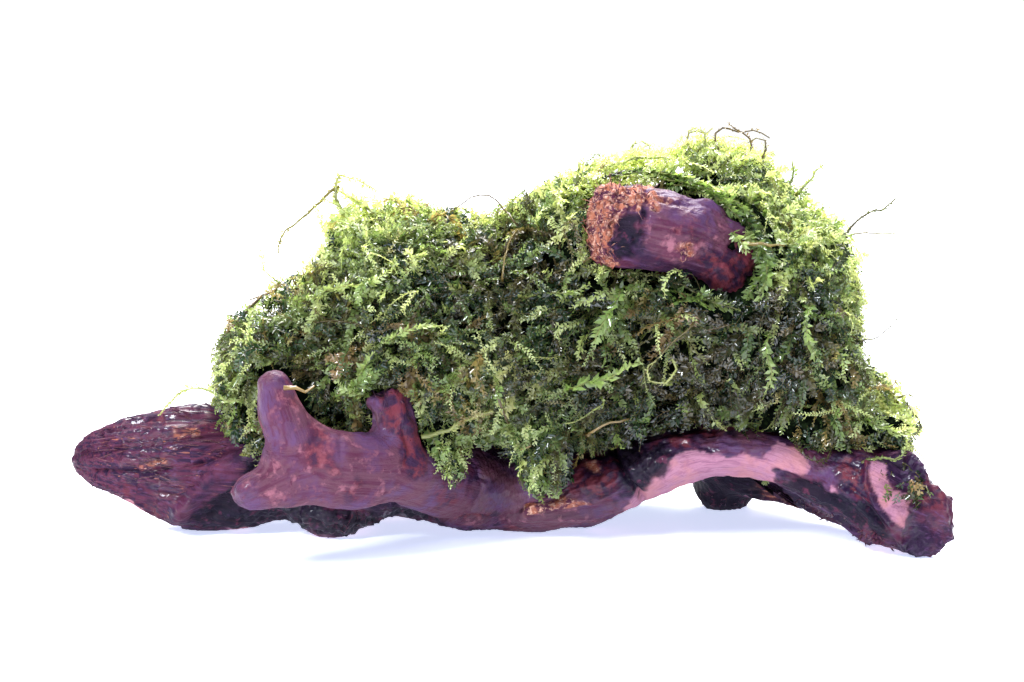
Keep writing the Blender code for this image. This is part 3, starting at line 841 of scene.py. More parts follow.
def wood_material(name, settings):
    """Wet driftwood: grain along the limb, pale dry skin, torn orange fibre, dark wet bark, and near-black painted
    shade where the dark mask lies.
    """
    material, sheet, shader, _ = new_material(name)
    grain = sheet.attribute("grain", vector=True)
    here = sheet.add("ShaderNodeTexCoord").outputs["Object"]
    mauve, warm, dry, torn, dark, red, wet, split = (
        sheet.attribute(mask) for mask in ("mauve", "warm", "dry", "torn", "dark", "red", "wet", "split")
    )
    lines = sheet.noise(grain, 1.0, (0.04, 1, 1), 4, 0.62, 0.3)
    fine = sheet.noise(grain, 3.2, (0.06, 1, 1), 3, 0.6)
    thread = sheet.noise(grain, 1.7, (0.03, 1, 1), 2, 0.5)
    blotch = sheet.noise(here, 130, (1, 1, 1), 4, 0.6)
    mottle = sheet.noise(here, 420, (1, 1, 1), 3, 0.6)
    speck = sheet.noise(here, 1300, (1, 1, 1), 2, 0.5)
    bark = sheet.mix(sheet.ranged(blotch, 0.44, 0.62), (*settings.wet_bark, 1), (*settings.red_bark, 1))
    bark = sheet.mix(sheet.ranged(lines, 0.50, 0.68, 0.0, 0.7), bark, (*settings.mauve_bark, 1))
    strips = sheet.mix(sheet.ranged(lines, 0.40, 0.56), (*settings.wet_bark, 1), (*settings.red_bark, 1))
    strips = sheet.mix(sheet.ranged(fine, 0.54, 0.70, 0.0, 0.8), strips, (*settings.mauve_bark, 1))
    strips = sheet.mix(sheet.ranged(thread, 0.66, 0.74, 0.0, 0.8), strips, (*settings.torn_fibre, 1))
    bark = sheet.mix(split, bark, strips)
    skin = sheet.mix(sheet.ranged(blotch, 0.42, 0.62), (*settings.mauve_bark, 1), (*settings.warm_bark, 1))
    skin = sheet.mix(sheet.ranged(mottle, 0.50, 0.68, 0.0, 0.75), skin, (*settings.red_bark, 1))
    skin = sheet.mix(sheet.ranged(lines, 0.34, 0.48, 0.7, 0.0), skin, (*settings.red_bark, 1))
    colour = sheet.mix(mauve, bark, skin)
    brown = sheet.mix(sheet.ranged(lines, 0.42, 0.58), (*settings.red_bark, 1), (*settings.warm_bark, 1))
    brown = sheet.mix(sheet.ranged(mottle, 0.52, 0.70), brown, (*settings.rosy_bark, 1))
    colour = sheet.mix(sheet.math("MULTIPLY", warm, sheet.ranged(blotch, 0.36, 0.52, 0.35, 0.9)), colour, brown)
    scarlet = sheet.mix(sheet.ranged(mottle, 0.40, 0.60), (*settings.wet_bark, 1), (*settings.deep_red, 1))
    colour = sheet.mix(sheet.math("MULTIPLY", red, 0.85), colour, scarlet)
    pale = sheet.mix(sheet.ranged(fine, 0.32, 0.58), (*settings.dry_shade, 1), (*settings.dry_skin, 1))
    pale = sheet.mix(sheet.ranged(blotch, 0.44, 0.58, 0.0, 0.65), pale, (*settings.dry_salmon, 1))
    pale = sheet.mix(sheet.ranged(mottle, 0.30, 0.46, 0.5, 0.0), pale, (*settings.dry_shade, 1))
    colour = sheet.mix(dry, colour, pale)
    fibre = sheet.mix(sheet.ranged(mottle, 0.40, 0.58), (*settings.red_bark, 1), (*settings.torn_fibre, 1))
    fibre = sheet.mix(sheet.ranged(speck, 0.50, 0.66), fibre, (*settings.pale_fibre, 1))
    streaky = sheet.mix(split, (1, 1, 1, 1), sheet.ranged(lines, 0.44, 0.56))
    colour = sheet.mix(sheet.math("MULTIPLY", torn, streaky), colour, fibre)
    # Painted shade: near-black under the wood and in its hollows, where the dark mask lies, partly the wet wood's own
    # dark colour.
    black = sheet.mix(sheet.ranged(mottle, 0.56, 0.70), (0.006, 0.004, 0.012, 1), (*settings.red_bark, 1))
    black = sheet.mix(sheet.ranged(speck, 0.60, 0.72, 0.0, 0.25), black, (*settings.mauve_bark, 1))
    colour = sheet.mix(sheet.math("MULTIPLY", dark, 0.92), colour, black)
    sheet.link(colour, shader.inputs["Base Color"])
    matt = sheet.math("MAXIMUM", dry, sheet.math("MAXIMUM", torn, sheet.math("MULTIPLY", dark, 0.5)))
    gloss = sheet.math("MULTIPLY", wet, sheet.math("SUBTRACT", 1.0, matt, True))
    sheet.link(sheet.ranged(gloss, 0.0, 0.8, 0.62, 0.40), shader.inputs["Roughness"])
    sheet.link(sheet.ranged(gloss, 0.1, 0.9, 0.0, 0.85), shader.inputs["Coat Weight"])
    shader.inputs["Coat Roughness"].default_value = 0.08
    shader.inputs["Coat IOR"].default_value = 1.27
    shader.inputs["Specular IOR Level"].default_value = 0.15
    furrows = sheet.add("ShaderNodeBump")
    furrows.inputs["Strength"].default_value = 1.0
    furrows.inputs["Distance"].default_value = 0.45 * MM
    sheet.link(sheet.math("ADD", lines, sheet.math("MULTIPLY", mottle, 0.6)), furrows.inputs["Height"])
    delicate = sheet.add("ShaderNodeBump")
    delicate.inputs["Strength"].default_value = 0.8
    delicate.inputs["Distance"].default_value = 0.15 * MM
    sheet.link(sheet.math("ADD", fine, speck), delicate.inputs["Height"])
    sheet.link(furrows.outputs["Normal"], delicate.inputs["Normal"])
    sheet.link(delicate.outputs["Normal"], shader.inputs["Normal"])
    return material


def colour_property(name, description, default):
    return FloatVectorProperty(
        name=name, description=description, subtype="COLOR", size=3, min=0, max=1, default=default
    )


def length_property(name, description, default):
    return FloatProperty(name=name, description=description, unit="LENGTH", precision=5, default=default)


# Moss. Ways that the shoots lie in the picture: u, v, way in u, way in v.
LIE = (
    (225, 330, -0.9, 0.1),
    (250, 420, -0.6, 0.8),
    (290, 250, -0.7, -0.5),
    (340, 200, -0.2, -1.0),
    (330, 330, -0.8, 0.4),
    (400, 220, 0.2, -1.0),
    (420, 320, -0.5, 0.6),
    (440, 450, -0.4, 0.9),
    (310, 300, 1.0, -0.1),
    (380, 370, 0.6, -0.5),
    (500, 240, 0.1, -0.8),
    (500, 380, -0.7, 0.5),
    (560, 470, -0.1, 1.0),
    (600, 330, -0.6, 0.7),
    (610, 390, -1.0, 0.25),
    (560, 180, 0.8, -0.5),
    (640, 165, 1.0, -0.1),
    (700, 150, 0.9, -0.4),
    (720, 185, 0.7, 0.6),
    (640, 290, 0.3, -0.5),
    (700, 320, 0.2, -0.6),
    (700, 360, -0.9, 0.3),
    (785, 190, 0.8, -0.3),
    (775, 240, -0.7, 0.4),
    (775, 300, -0.6, -0.2),
    (790, 320, -0.5, 0.7),
    (850, 260, 0.8, 0.2),
    (850, 370, 0.5, 0.8),
    (900, 420, 1.0, 0.2),
)

# Tone of the moss at places in the picture: u, v, tone. It is partly the shoots' own colour and partly painted light
# and shade: lighter where the crown and edges are backlit, darker where the middle and the right side lie in shade.
MOSS_TONE_AND_LIGHT = (
    (230, 340, 0.60),
    (330, 230, 1.00),
    (400, 225, 0.76),
    (300, 300, 0.54),
    (320, 350, 0.36),
    (370, 400, 0.42),
    (250, 420, 0.60),
    (440, 300, 0.28),
    (440, 400, 0.50),
    (445, 460, 0.74),
    (520, 250, 0.28),
    (530, 320, 0.24),
    (540, 380, 0.52),
    (560, 440, 0.38),
    (610, 370, 0.52),
    (560, 190, 1.05),
    (640, 160, 1.00),
    (740, 155, 0.95),
    (660, 310, 0.78),
    (640, 410, 0.20),
    (700, 390, 0.24),
    (760, 330, 0.0),
    (800, 330, 0.0),
    (800, 220, 0.68),
    (845, 300, 0.72),
    (800, 430, 0.62),
    (880, 410, 1.05),
)

# The heap's outline in the picture. Only loose strands reach past it.
HEAP_OUTLINE = (
    (214, 350), (222, 322), (242, 300), (262, 288), (288, 276), (312, 262), (326, 244), (324, 218), (342, 202),
    (364, 196), (390, 196), (412, 196), (432, 204), (456, 208), (484, 210), (504, 206), (524, 196), (546, 182),
    (572, 166), (602, 156), (632, 147), (662, 140), (692, 134), (730, 136), (772, 146), (802, 162), (818, 182),
    (824, 204), (842, 216), (858, 236), (864, 262), (868, 292), (862, 322), (864, 348), (868, 372), (888, 378),
    (908, 386), (920, 404), (922, 428), (914, 446), (930, 470), (920, 700), (200, 700), (208, 430), (212, 380),
)

# Outlines of bare wood in the picture, and how far back in mm each keeps the shoots off.
BARE = (
    (((402, 472), (430, 484), (448, 486), (458, 476), (466, 452), (474, 444), (498, 443), (512, 456), (515, 476),
      (524, 494), (548, 493), (562, 487), (572, 478), (564, 468), (568, 457), (586, 446), (600, 451), (614, 451),
      (640, 445), (666, 438), (684, 424), (718, 421), (734, 433), (758, 441), (768, 434), (786, 443), (812, 457),
      (828, 449), (852, 453), (864, 463), (884, 464), (905, 466), (908, 456), (902, 446), (914, 442), (940, 460),
      (1024, 460), (1024, 682), (0, 682), (0, 400), (205, 402), (216, 412), (224, 430), (238, 446), (262, 460),
      (300, 480)), 24),
    (((250, 362), (292, 366), (304, 392), (318, 410), (346, 432), (372, 436), (382, 426), (384, 402), (392, 388),
      (402, 390), (410, 410), (412, 430), (402, 472), (380, 500), (240, 510), (238, 480), (262, 456)), -12),
    (((584, 190), (596, 182), (640, 181), (702, 193), (736, 210), (752, 240), (758, 266), (755, 288), (738, 296),
      (716, 290), (706, 276), (690, 270), (650, 275), (612, 265), (590, 252), (584, 225)), 4),
)
BARE_CELL = 2

GRAVITY = Vector((0, 0, -1))


def blended(guides, u, v, reach):
    """Guide values at a pixel, weighted by how near each guide is."""
    guides = np.array(guides, float)
    away = ((guides[:, :2] - (u, v)) ** 2).sum(axis=1) / reach**2
    weights = 1 / (0.3 + away) ** 2
    return (guides[:, 2:] * weights[:, None]).sum(axis=0) / weights.sum()


class Ground:
    """A closed body that tells how far outside it a point is, and which way is out."""

    def __init__(self, points, triangles):
        self.tree = BVHTree.FromPolygons(points.tolist(), triangles.tolist())

    def out(self, point):
        place, normal, _, distance = self.tree.find_nearest(point)
        outside = (point - place).dot(normal) >= 0
        return (distance if outside else -distance), normal


class BareMap:
    """Tells where the picture shows no moss: outside the heap, and in front of bare wood."""

    def __init__(self, wood):
        wide, high = PICTURE_SIZE[0] // BARE_CELL, PICTURE_SIZE[1] // BARE_CELL
        v, u = np.mgrid[0:high, 0:wide] * float(BARE_CELL)
        places = np.stack((u.ravel(), v.ravel()), axis=1)
        limits = np.where(inside_outline(places, HEAP_OUTLINE) < 0, 1.0, -1.0)
        for outline, back in BARE:
            for index in np.nonzero(inside_outline(places, outline) > 0)[0]:
                seen = wood.tree.ray_cast(Vector(CAMERA_PLACE), Vector(picture_ray(*places[index])))[0]
                limit = back * MM if seen is None else seen.y + 2 * MM
                limits[index] = max(limits[index], limit)
        self.limits = limits.reshape(high, wide).tolist()

    def blocks(self, point, slack_u, slack_v):
        """True if a shoot may not be here. The slack in pixels makes the edges uneven."""
        x, y, z = point - Vector(CAMERA_PLACE)
        depth = y * FORWARD[1] + z * FORWARD[2]
        u = PICTURE_SIZE[0] / 2 + PIXELS_PER_SLOPE * x / depth + slack_u
        v = PICTURE_SIZE[1] / 2 - PIXELS_PER_SLOPE * (y * UPWARD[1] + z * UPWARD[2]) / depth + slack_v
        column = min(max(int(u / BARE_CELL), 0), len(self.limits[0]) - 1)
        row = min(max(int(v / BARE_CELL), 0), len(self.limits) - 1)
        return point.y < self.limits[row][column]


class Shoots:
    """Collects the lines of all shoots with what each of their points carries."""

    def __init__(self):
        self.lines = []

    def add(self, points, flats, tone, dead, leaf, thick, label):
        self.lines.append((points, flats, tone, dead, leaf, thick, label))


def grow_line(rng, start, way, length, heap, wood, bare, lift, droop, wiggle, step):
    """A shoot's points and the outward way at each, kept near the heap's skin and off bare wood."""
    slack_u = rng.gauss(0, 5)
    slack_v = rng.gauss(0, 5)
    points = [start.copy()]
    outs = []
    point = start.copy()
    count = max(3, int(length / step))
    drift = Vector((rng.gauss(0, 1), rng.gauss(0, 1), rng.gauss(0, 1)))
    depth, out = heap.out(point)
    first = depth
    for index in range(count):
        share = (index + 1) / count
        goal = first + (lift - first) * share
        drift = drift * 0.6 + Vector((rng.gauss(0, 1), rng.gauss(0, 1), rng.gauss(0, 1))) * 0.5
        way = way + out * max(-0.6, min(0.6, (goal - depth) / (2.5 * MM))) * 0.5
        way = way + GRAVITY * droop + drift * wiggle
        way.normalize()
        point = point + way * step
        clear, from_wood = wood.out(point)
        if clear < 0.5 * MM:
            point = point + from_wood * (0.5 * MM - clear)
            way = (way + from_wood * 0.5).normalized()
        if bare and bare.blocks(point, slack_u, slack_v):
            break
        depth, out = heap.out(point)
        points.append(point.copy())
        outs.append(out)
    return points, outs[:1] + outs


def add_frond(shoots, rng, line, outs, tone, dead, leaf, bushy, label, settings, wood, bare):
    """Adds one main shoot and its side shoots, which lie flat on both of its sides."""
    ways = [(b - a).normalized() for a, b in zip(line, line[1:])]
    ways.append(ways[-1])
    roll = rng.gauss(0, 0.5)
    flats = []
    for way, out in zip(ways, outs):
        side = way.cross(out)
        if side.length < 1e-4:
            side = way.cross(Vector((0.3, 0.9, 0.2)))
        side.normalize()
        up = side.cross(way)
        flats.append((side * math.cos(roll) + up * math.sin(roll)).normalized())
    shoots.add(line, flats, tone, dead, leaf, settings.stem_radius, label)
    step = settings.step
    hand = rng.choice((-1, 1))
    at = rng.uniform(1.5, 3.0) * MM
    whole = step * (len(line) - 1)
    while at < whole - 1.2 * MM:
        index = min(int(at / step), len(line) - 2)
        share = at / whole
        reach = rng.uniform(0.5, 1.0) * settings.side_length * (1 - 0.75 * share) * min(1, 0.5 + 3 * share)
        reach = min(reach * bushy, 0.5 * whole)
        way = ways[index]
        flat = flats[index] * hand
        up = flat.cross(way)
        branch_way = (way * 0.75 + flat * 0.8 + up * rng.gauss(0, 0.25)).normalized()
        point = line[index].copy()
        points = [point.copy()]
        count = max(2, int(reach / step))
        for _ in range(count):
            branch_way = (branch_way + way * 0.05 + GRAVITY * 0.01 + up * rng.gauss(0, 0.10)).normalized()
            point = point + branch_way * step
            points.append(point.copy())
        if wood.out(points[-1])[0] > 0.3 * MM and not (bare and bare.blocks(points[-1], 0, 0)):
            sides = [branch_way.cross(up).normalized()] * len(points)
            shoots.add(points, sides, tone + rng.uniform(-0.03, 0.08), dead, leaf * 0.85,
                       settings.stem_radius * 0.7, label)
        hand = -hand
        at += rng.uniform(0.6, 1.4) * settings.side_spacing


def clump_of(point):
    """Index of the clump whose node lies nearest to the point."""
    best = 0
    nearest = math.inf
    for index, (low, high) in enumerate(CLUMP_BOXES[:-1]):
        gap = sum(max(low[k] - point[k], 0, point[k] - high[k]) ** 2 for k in range(3))
        if gap < nearest:
            nearest = gap
            best = index
    return best


CLUMP_BOXES = [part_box(name) for name in MOSS_NODES]


def sow(shoots, settings, rng, body, wood, bare, tufts, frond_length, lift, label=None):
    """Grows tufts all over one moss body. Each joins the clump at its place, or the one given."""
    points, triangles = body
    heap = Ground(points, triangles)
    corners = points[triangles]
    across = np.cross(corners[:, 1] - corners[:, 0], corners[:, 2] - corners[:, 0])
    area = np.linalg.norm(across, axis=1) / 2
    outward = across / (2 * area[:, None] + 1e-12)
    middles = corners.mean(axis=1)
    to_camera = CAMERA_PLACE - middles
    to_camera /= np.linalg.norm(to_camera, axis=1)[:, None]
    facing = (outward * to_camera).sum(axis=1)
    weight = area * (1 + 0.9 * smoothstep(facing, -0.3, 0.3) + 0.3 * (outward[:, 2] > 0.3))
    patch = layered(middles / (10 * MM), 2, 35)
    if label is None:
        near_wood = np.array([wood.out(Vector(middle))[0] for middle in middles])
        weight[near_wood < 0.6 * MM] = 0
        weight[layered(middles / (6 * MM), 2, 33) < -0.55] = 0
    picker = np.random.default_rng(settings.seed)
    for index in picker.choice(len(middles), tufts, p=weight / weight.sum()):
        out = Vector(outward[index])
        base = Vector(middles[index]) - out * rng.uniform(3.0, 5.0) * frond_length * 0.077
        if wood.out(base)[0] < 0.8 * MM:
            base = Vector(middles[index]) - out * 1.2 * MM
        u, v = to_picture(middles[index][None])[0]
        lie_u, lie_v = blended(LIE, u, v, 60)
        if facing[index] < -0.1 or label is not None:
            lie_u, lie_v = rng.gauss(0, 0.5), 0.5
        flow = Vector((lie_u, 0, -lie_v))
        flow = flow - out * flow.dot(out)
        spin = Vector((rng.gauss(0, 1), rng.gauss(0, 1), rng.gauss(0, 1)))
        tuft_way = (flow * 0.9 + out * 0.45 + spin * 0.35).normalized()
        # Tone: partly painted light and shade from the table of the moss's tone, partly random.
        tone = float(blended(MOSS_TONE_AND_LIGHT, u, v, 45)[0]) + 0.20 * patch[index] + rng.gauss(0, 0.17)
        if label is not None:
            tone = 0.36 + rng.gauss(0, 0.06)
        dead = max(0.0, rng.gauss(0.05, 0.12))
        rim = 1 - abs(smoothstep(facing[index], -0.45, 0.45) * 2 - 1)
        if rng.random() < 0.05:
            dead = rng.uniform(0.4, 0.85)
        for _ in range(rng.randint(settings.fronds - 2, settings.fronds + 2)):
            spin = Vector((rng.gauss(0, 1), rng.gauss(0, 1), rng.gauss(0, 1)))
            way = (tuft_way + spin * 0.30).normalized()
            start = base + spin * 1.1 * MM
            if wood.out(start)[0] < 0.4 * MM:
                continue
            length = rng.uniform(0.55, 1.25) * frond_length
            rise = rng.uniform(-1.2, 1.0 + 1.3 * rim) * lift
            droop = rng.uniform(0.0, 0.05)
            leaf = rng.uniform(0.8, 1.2)
            bushy = 1.0
            # Painted shade and light: a shoot that lies deeper in the heap is darker, one that rises over it lighter;
            # the long thin shoots are lighter.
            height = 0.20 * rise / lift
            if label is None and rng.random() < settings.wispy:
                length *= 1.5
                rise = rng.uniform(0.6, 2.2) * lift
                leaf = rng.uniform(0.5, 0.75)
                bushy = 0.3
                height = 0.22
            line, outs = grow_line(rng, start, way, length, heap, wood, bare, rise, droop, 0.10, settings.step)
            if len(line) < 4:
                continue
            place = clump_of(line[len(line) // 2]) if label is None else label
            shade = tone + height + rng.gauss(0, 0.10)
            add_frond(shoots, rng, line, outs, shade, dead, leaf, bushy, place, settings, wood, bare)


# Strands that stand out in the picture: line of pixels, rise over the heap in mm or None for a twig on the
# wood, tone, how dead, leaf size, and stem radius in mm. The lines run from the heap outwards.
STRANDS = (
    (((345, 215), (336, 195), (338, 176), (350, 178), (364, 183), (377, 191)), 1, 0.95, 0.4, 0.60, 0.22),
    (((338, 186), (326, 195), (305, 216), (290, 228), (281, 236), (278, 254)), 1, 0.80, 0.6, 0.45, 0.20),
    (((372, 214), (362, 204), (350, 197), (334, 188)), 1, 1.00, 0.1, 0.95, 0.30),
    (((364, 245), (358, 225), (344, 210), (332, 203), (322, 198)), 1, 0.90, 0.1, 0.80, 0.20),
    (((332, 256), (326, 236), (320, 218), (316, 206)), 1, 1.00, 0.2, 0.60, 0.14),
    (((280, 284), (272, 277), (264, 270), (261, 258), (260, 248)), 1, 1.00, 0.0, 0.45, 0.12),
    (((296, 284), (291, 277), (287, 268)), 1, 0.40, 0.6, 0.15, 0.12),
    (((282, 284), (272, 292), (258, 297), (250, 300)), 1, 0.10, 0.7, 0.20, 0.24),
    (((262, 296), (248, 308), (234, 326), (224, 336), (216, 350)), 1, 0.15, 0.7, 0.15, 0.22),
    (((250, 310), (238, 316), (224, 315), (214, 310), (209, 306)), 1, 0.30, 0.5, 0.12, 0.10),
    (((244, 400), (232, 402), (217, 395), (200, 387), (184, 390), (170, 402), (160, 414)), 1, 0.90, 0.0, 0.55, 0.24),
    (((240, 392), (228, 384), (224, 374), (226, 364)), 1, 0.75, 0.1, 0.50, 0.12),
    (((518, 226), (498, 202), (482, 195), (470, 198), (454, 209), (442, 222)), 1, 0.25, 0.5, 0.20, 0.12),
    (((503, 282), (504, 262), (508, 244), (517, 230)), 2, 0.75, 0.8, 0.20, 0.15),
    (((560, 392), (582, 384), (604, 380), (626, 368), (640, 362)), 2.5, 0.80, 0.0, 1.00, 0.20),
    (((484, 350), (476, 366), (478, 380), (484, 396)), 2.5, 0.75, 0.8, 0.80, 0.20),
    (((420, 438), (444, 432), (468, 420), (492, 411)), 2.5, 0.95, 0.35, 0.45, 0.30),
    (((584, 437), (600, 427), (616, 421), (630, 418)), 2.5, 0.85, 0.9, 0.12, 0.26),
    (((512, 452), (524, 449), (532, 446)), 2, 0.90, 0.9, 0.10, 0.24),
    (((488, 382), (496, 394), (502, 408), (508, 424)), 2.5, 0.08, 0.4, 0.15, 0.30),
    (((620, 288), (616, 304), (600, 326), (594, 344)), 3, 0.75, 0.0, 0.90, 0.20),
    (((700, 392), (702, 404), (712, 418), (724, 428)), 2.5, 0.90, 0.1, 0.70, 0.20),
    (((700, 318), (682, 334), (664, 352), (650, 366), (640, 382)), 2.5, 0.55, 0.5, 0.12, 0.16),
    (((668, 356), (676, 364), (674, 376), (662, 384), (650, 380), (648, 368), (656, 362)), 3, 0.95, 0.3, 0.35, 0.18),
    (((712, 212), (726, 224), (738, 238), (746, 252)), 2, 0.80, 0.0, 0.80, 0.18),
    (((740, 242), (756, 244), (772, 245), (786, 246)), 3, 0.85, 0.8, 0.15, 0.28),
    (((636, 160), (630, 148), (640, 141), (650, 145), (650, 156)), 1, 0.90, 0.1, 0.35, 0.14),
    (((690, 150), (686, 140), (692, 130), (704, 134), (712, 128)), 1, 0.85, 0.5, 0.35, 0.16),
    (((720, 150), (714, 136), (724, 128), (740, 132), (756, 130), (770, 138)), 1, 0.20, 0.5, 0.30, 0.16),
    (((742, 158), (752, 148), (748, 136), (736, 130), (728, 122)), 1, 0.15, 0.6, 0.30, 0.17),
    (((762, 158), (768, 146), (760, 136), (748, 142)), 1, 0.55, 0.5, 0.25, 0.14),
    (((700, 148), (706, 138), (700, 128), (688, 132)), 1, 0.95, 0.2, 0.40, 0.14),
    (((796, 196), (806, 184), (814, 174), (824, 165)), 1, 0.85, 0.0, 0.55, 0.24),
    (((786, 188), (794, 176), (792, 162)), 1, 0.75, 0.1, 0.50, 0.22),
    (((830, 226), (842, 236), (856, 222), (870, 212), (884, 208), (895, 198)), 1, 0.50, 0.1, 0.45, 0.20),
    (((846, 236), (862, 233), (882, 234), (903, 233)), 1, 0.50, 0.3, 0.30, 0.17),
    (((858, 342), (872, 338), (886, 330), (896, 320), (903, 309)), 1, 0.45, 0.2, 0.20, 0.14),
    (((905, 402), (914, 414), (920, 428), (912, 440), (905, 448)), 1, 0.45, 0.1, 0.45, 0.14),
    (((898, 398), (908, 392), (914, 396), (918, 410), (930, 416)), 1, 0.40, 0.2, 0.15, 0.11),
    (((868, 392), (880, 386), (890, 388), (896, 380)), 1, 0.80, 0.85, 0.60, 0.18),
    (((862, 462), (880, 458), (898, 460), (905, 450), (908, 440)), 1.5, 0.85, 0.0, 0.45, 0.16),
    (((600, 395), (604, 405), (590, 412), (580, 420), (566, 424)), 2, 0.85, 0.1, 0.30, 0.16),
    (((360, 380), (366, 362), (374, 352)), 2.5, 0.80, 0.0, 0.80, 0.18),
    (((330, 400), (350, 386), (362, 372)), 2.5, 0.75, 0.0, 0.70, 0.18),
    (((284, 388), (293, 387), (300, 388), (307, 392), (315, 387)), None, 0.98, 0.90, 0.05, 0.30),
    (((300, 330), (322, 322), (350, 322), (372, 330), (398, 328)), 2.5, 0.30, 0.2, 0.60, 0.18),
    (((290, 300), (316, 296), (340, 286), (366, 284), (392, 270)), 2.5, 0.90, 0.0, 0.80, 0.16),
    (((378, 348), (398, 334), (420, 326), (446, 326)), 2.5, 0.85, 0.0, 0.80, 0.16),
    (((520, 300), (544, 292), (566, 294), (590, 284)), 2.5, 0.65, 0.1, 0.75, 0.16),
    (((770, 330), (766, 352), (772, 374), (764, 396)), 2.5, 0.80, 0.0, 0.70, 0.16),
    (((812, 300), (806, 324), (812, 348), (822, 366)), 2.5, 0.80, 0.0, 0.80, 0.16),
    (((610, 176), (650, 172), (690, 178), (720, 190), (748, 196)), 2, 0.85, 0.0, 0.75, 0.16),
    (((600, 168), (640, 158), (680, 160), (716, 172)), 2, 0.95, 0.0, 0.60, 0.16),
    (((640, 170), (680, 178), (712, 192), (736, 210)), 1.5, 0.75, 0.0, 1.00, 0.16),
    (((660, 184), (696, 188), (722, 202), (744, 222)), 1, 0.65, 0.0, 1.00, 0.16),
    (((650, 178), (690, 184), (724, 196), (752, 214), (764, 236)), 1.5, 0.75, 0.0, 0.80, 0.16),
    (((600, 180), (620, 172), (660, 172), (700, 182)), 1.5, 0.55, 0.0, 0.80, 0.16),
    (((742, 216), (758, 236), (768, 262), (766, 286)), 1.5, 0.60, 0.0, 1.00, 0.16),
    (((748, 232), (764, 252), (766, 276), (758, 300)), 1.5, 0.75, 0.0, 1.00, 0.16),
    (((656, 280), (684, 286), (712, 302), (738, 310)), 1.5, 0.50, 0.1, 1.00, 0.16),
    (((772, 206), (760, 216), (752, 230), (750, 244)), 1, 0.80, 0.0, 1.00, 0.16),
    (((764, 196), (750, 204), (740, 216)), 1, 0.65, 0.0, 1.00, 0.16),
    (((780, 228), (768, 236), (758, 250)), 1, 0.70, 0.0, 0.80, 0.16),
    (((738, 190), (750, 206), (762, 226), (768, 244)), 1, 0.60, 0.0, 1.00, 0.16),
    (((728, 188), (746, 200), (760, 220), (768, 244), (770, 268)), 0.5, 0.70, 0.0, 1.00, 0.16),
    (((722, 196), (738, 208), (750, 226), (756, 246), (758, 262)), 0.5, 0.55, 0.0, 1.00, 0.16),
    (((776, 250), (768, 268), (756, 284), (746, 300)), 1, 0.60, 0.0, 1.00, 0.16),
    (((668, 300), (690, 300), (706, 292)), 1.5, 0.60, 0.0, 1.00, 0.16),
    (((640, 292), (664, 290), (690, 296), (712, 310)), 1.5, 0.60, 0.0, 1.00, 0.16),
    (((862, 418), (876, 424), (890, 430), (902, 436)), 1, 0.80, 0.0, 1.00, 0.16),
    (((424, 424), (434, 440), (440, 456), (446, 470)), 1.5, 0.70, 0.0, 0.90, 0.16),
)


def add_strands(shoots, settings, heap, wood, rng):
    """Adds the strands. Each lies just over the heap or the wood, or reaches past them at its last depth."""
    for pixels, rise, tone, dead, leaf, radius in STRANDS:
        depth = heap.tree.find_nearest(Vector(at_depth(*pixels[0], 0)))[0].y / MM
        rows = []
        for u, v in smooth_line(pixels, 8):
            ray = Vector(picture_ray(u, v))
            place = heap.tree.ray_cast(Vector(CAMERA_PLACE), ray)[0]
            bark = wood.tree.ray_cast(Vector(CAMERA_PLACE), ray)[0]
            if place is not None and rise is not None:
                depth += 0.5 * (place.y / MM - rise - depth)
            if bark is not None:
                depth = min(depth, bark.y / MM - 0.8)
            rows.append(at_depth(u, v, depth))
        steps = np.linalg.norm(np.diff(rows, axis=0), axis=1)
        along = np.concatenate(((0,), np.cumsum(steps)))
        count = max(4, int(along[-1] / settings.step))
        even = np.linspace(0, along[-1], count)
        line = [Vector([np.interp(at, along, np.array(rows)[:, axis]) for axis in range(3)]) for at in even]
        wild = 0.12 * MM
        line = [point + Vector((rng.gauss(0, wild), rng.gauss(0, 3 * wild), rng.gauss(0, wild))) for point in line]
        flats = [Vector((rng.gauss(0, 0.4), rng.gauss(0, 0.4), 1)).cross(b - a).normalized()
                 for a, b in zip(line, line[1:])]
        flats.append(flats[-1])
        shoots.add(line, flats, tone, dead, 1.7 * leaf, 1.9 * radius * MM, clump_of(line[0]))


def grow_moss(settings):
    """All shoots of the moss, and the heap's body for the dark cores of painted shade."""
    rng = random.Random(settings.seed)
    heap_points, heap_triangles, heap_edges = fused_nodes(MOSS_NODES[:-1], 0.35 * MM, 1.3 * MM, 12)
    heel_points, heel_triangles, _ = fused_nodes(MOSS_NODES[-1:], 0.1 * MM, 0.5 * MM, 6)
    wood_points, wood_triangles, _ = fused_nodes(WOOD_NODES, 0.35 * MM, 1.0 * MM, 12)
    wood = Ground(wood_points, wood_triangles)
    bare = BareMap(wood)
    shoots = Shoots()
    heap = (heap_points, heap_triangles)
    heel = (heel_points, heel_triangles)
    sow(shoots, settings, rng, heap, wood, bare, settings.tufts, settings.frond_length, 1.6 * MM)
    sow(shoots, settings, rng, heel, wood, None, 9, 2.4 * MM, 0.4 * MM, len(MOSS_NODES) - 1)
    hollow = Vector(FORWARD) * settings.heel_sink
    for line in shoots.lines:
        if line[6] == len(MOSS_NODES) - 1:
            line[0][:] = [point + hollow for point in line[0]]
    add_strands(shoots, settings, Ground(heap_points, heap_triangles), wood, rng)
    cores = core_parts(heap_points, heap_triangles, heap_edges, bare, settings.core_depth)
    return shoots.lines, cores


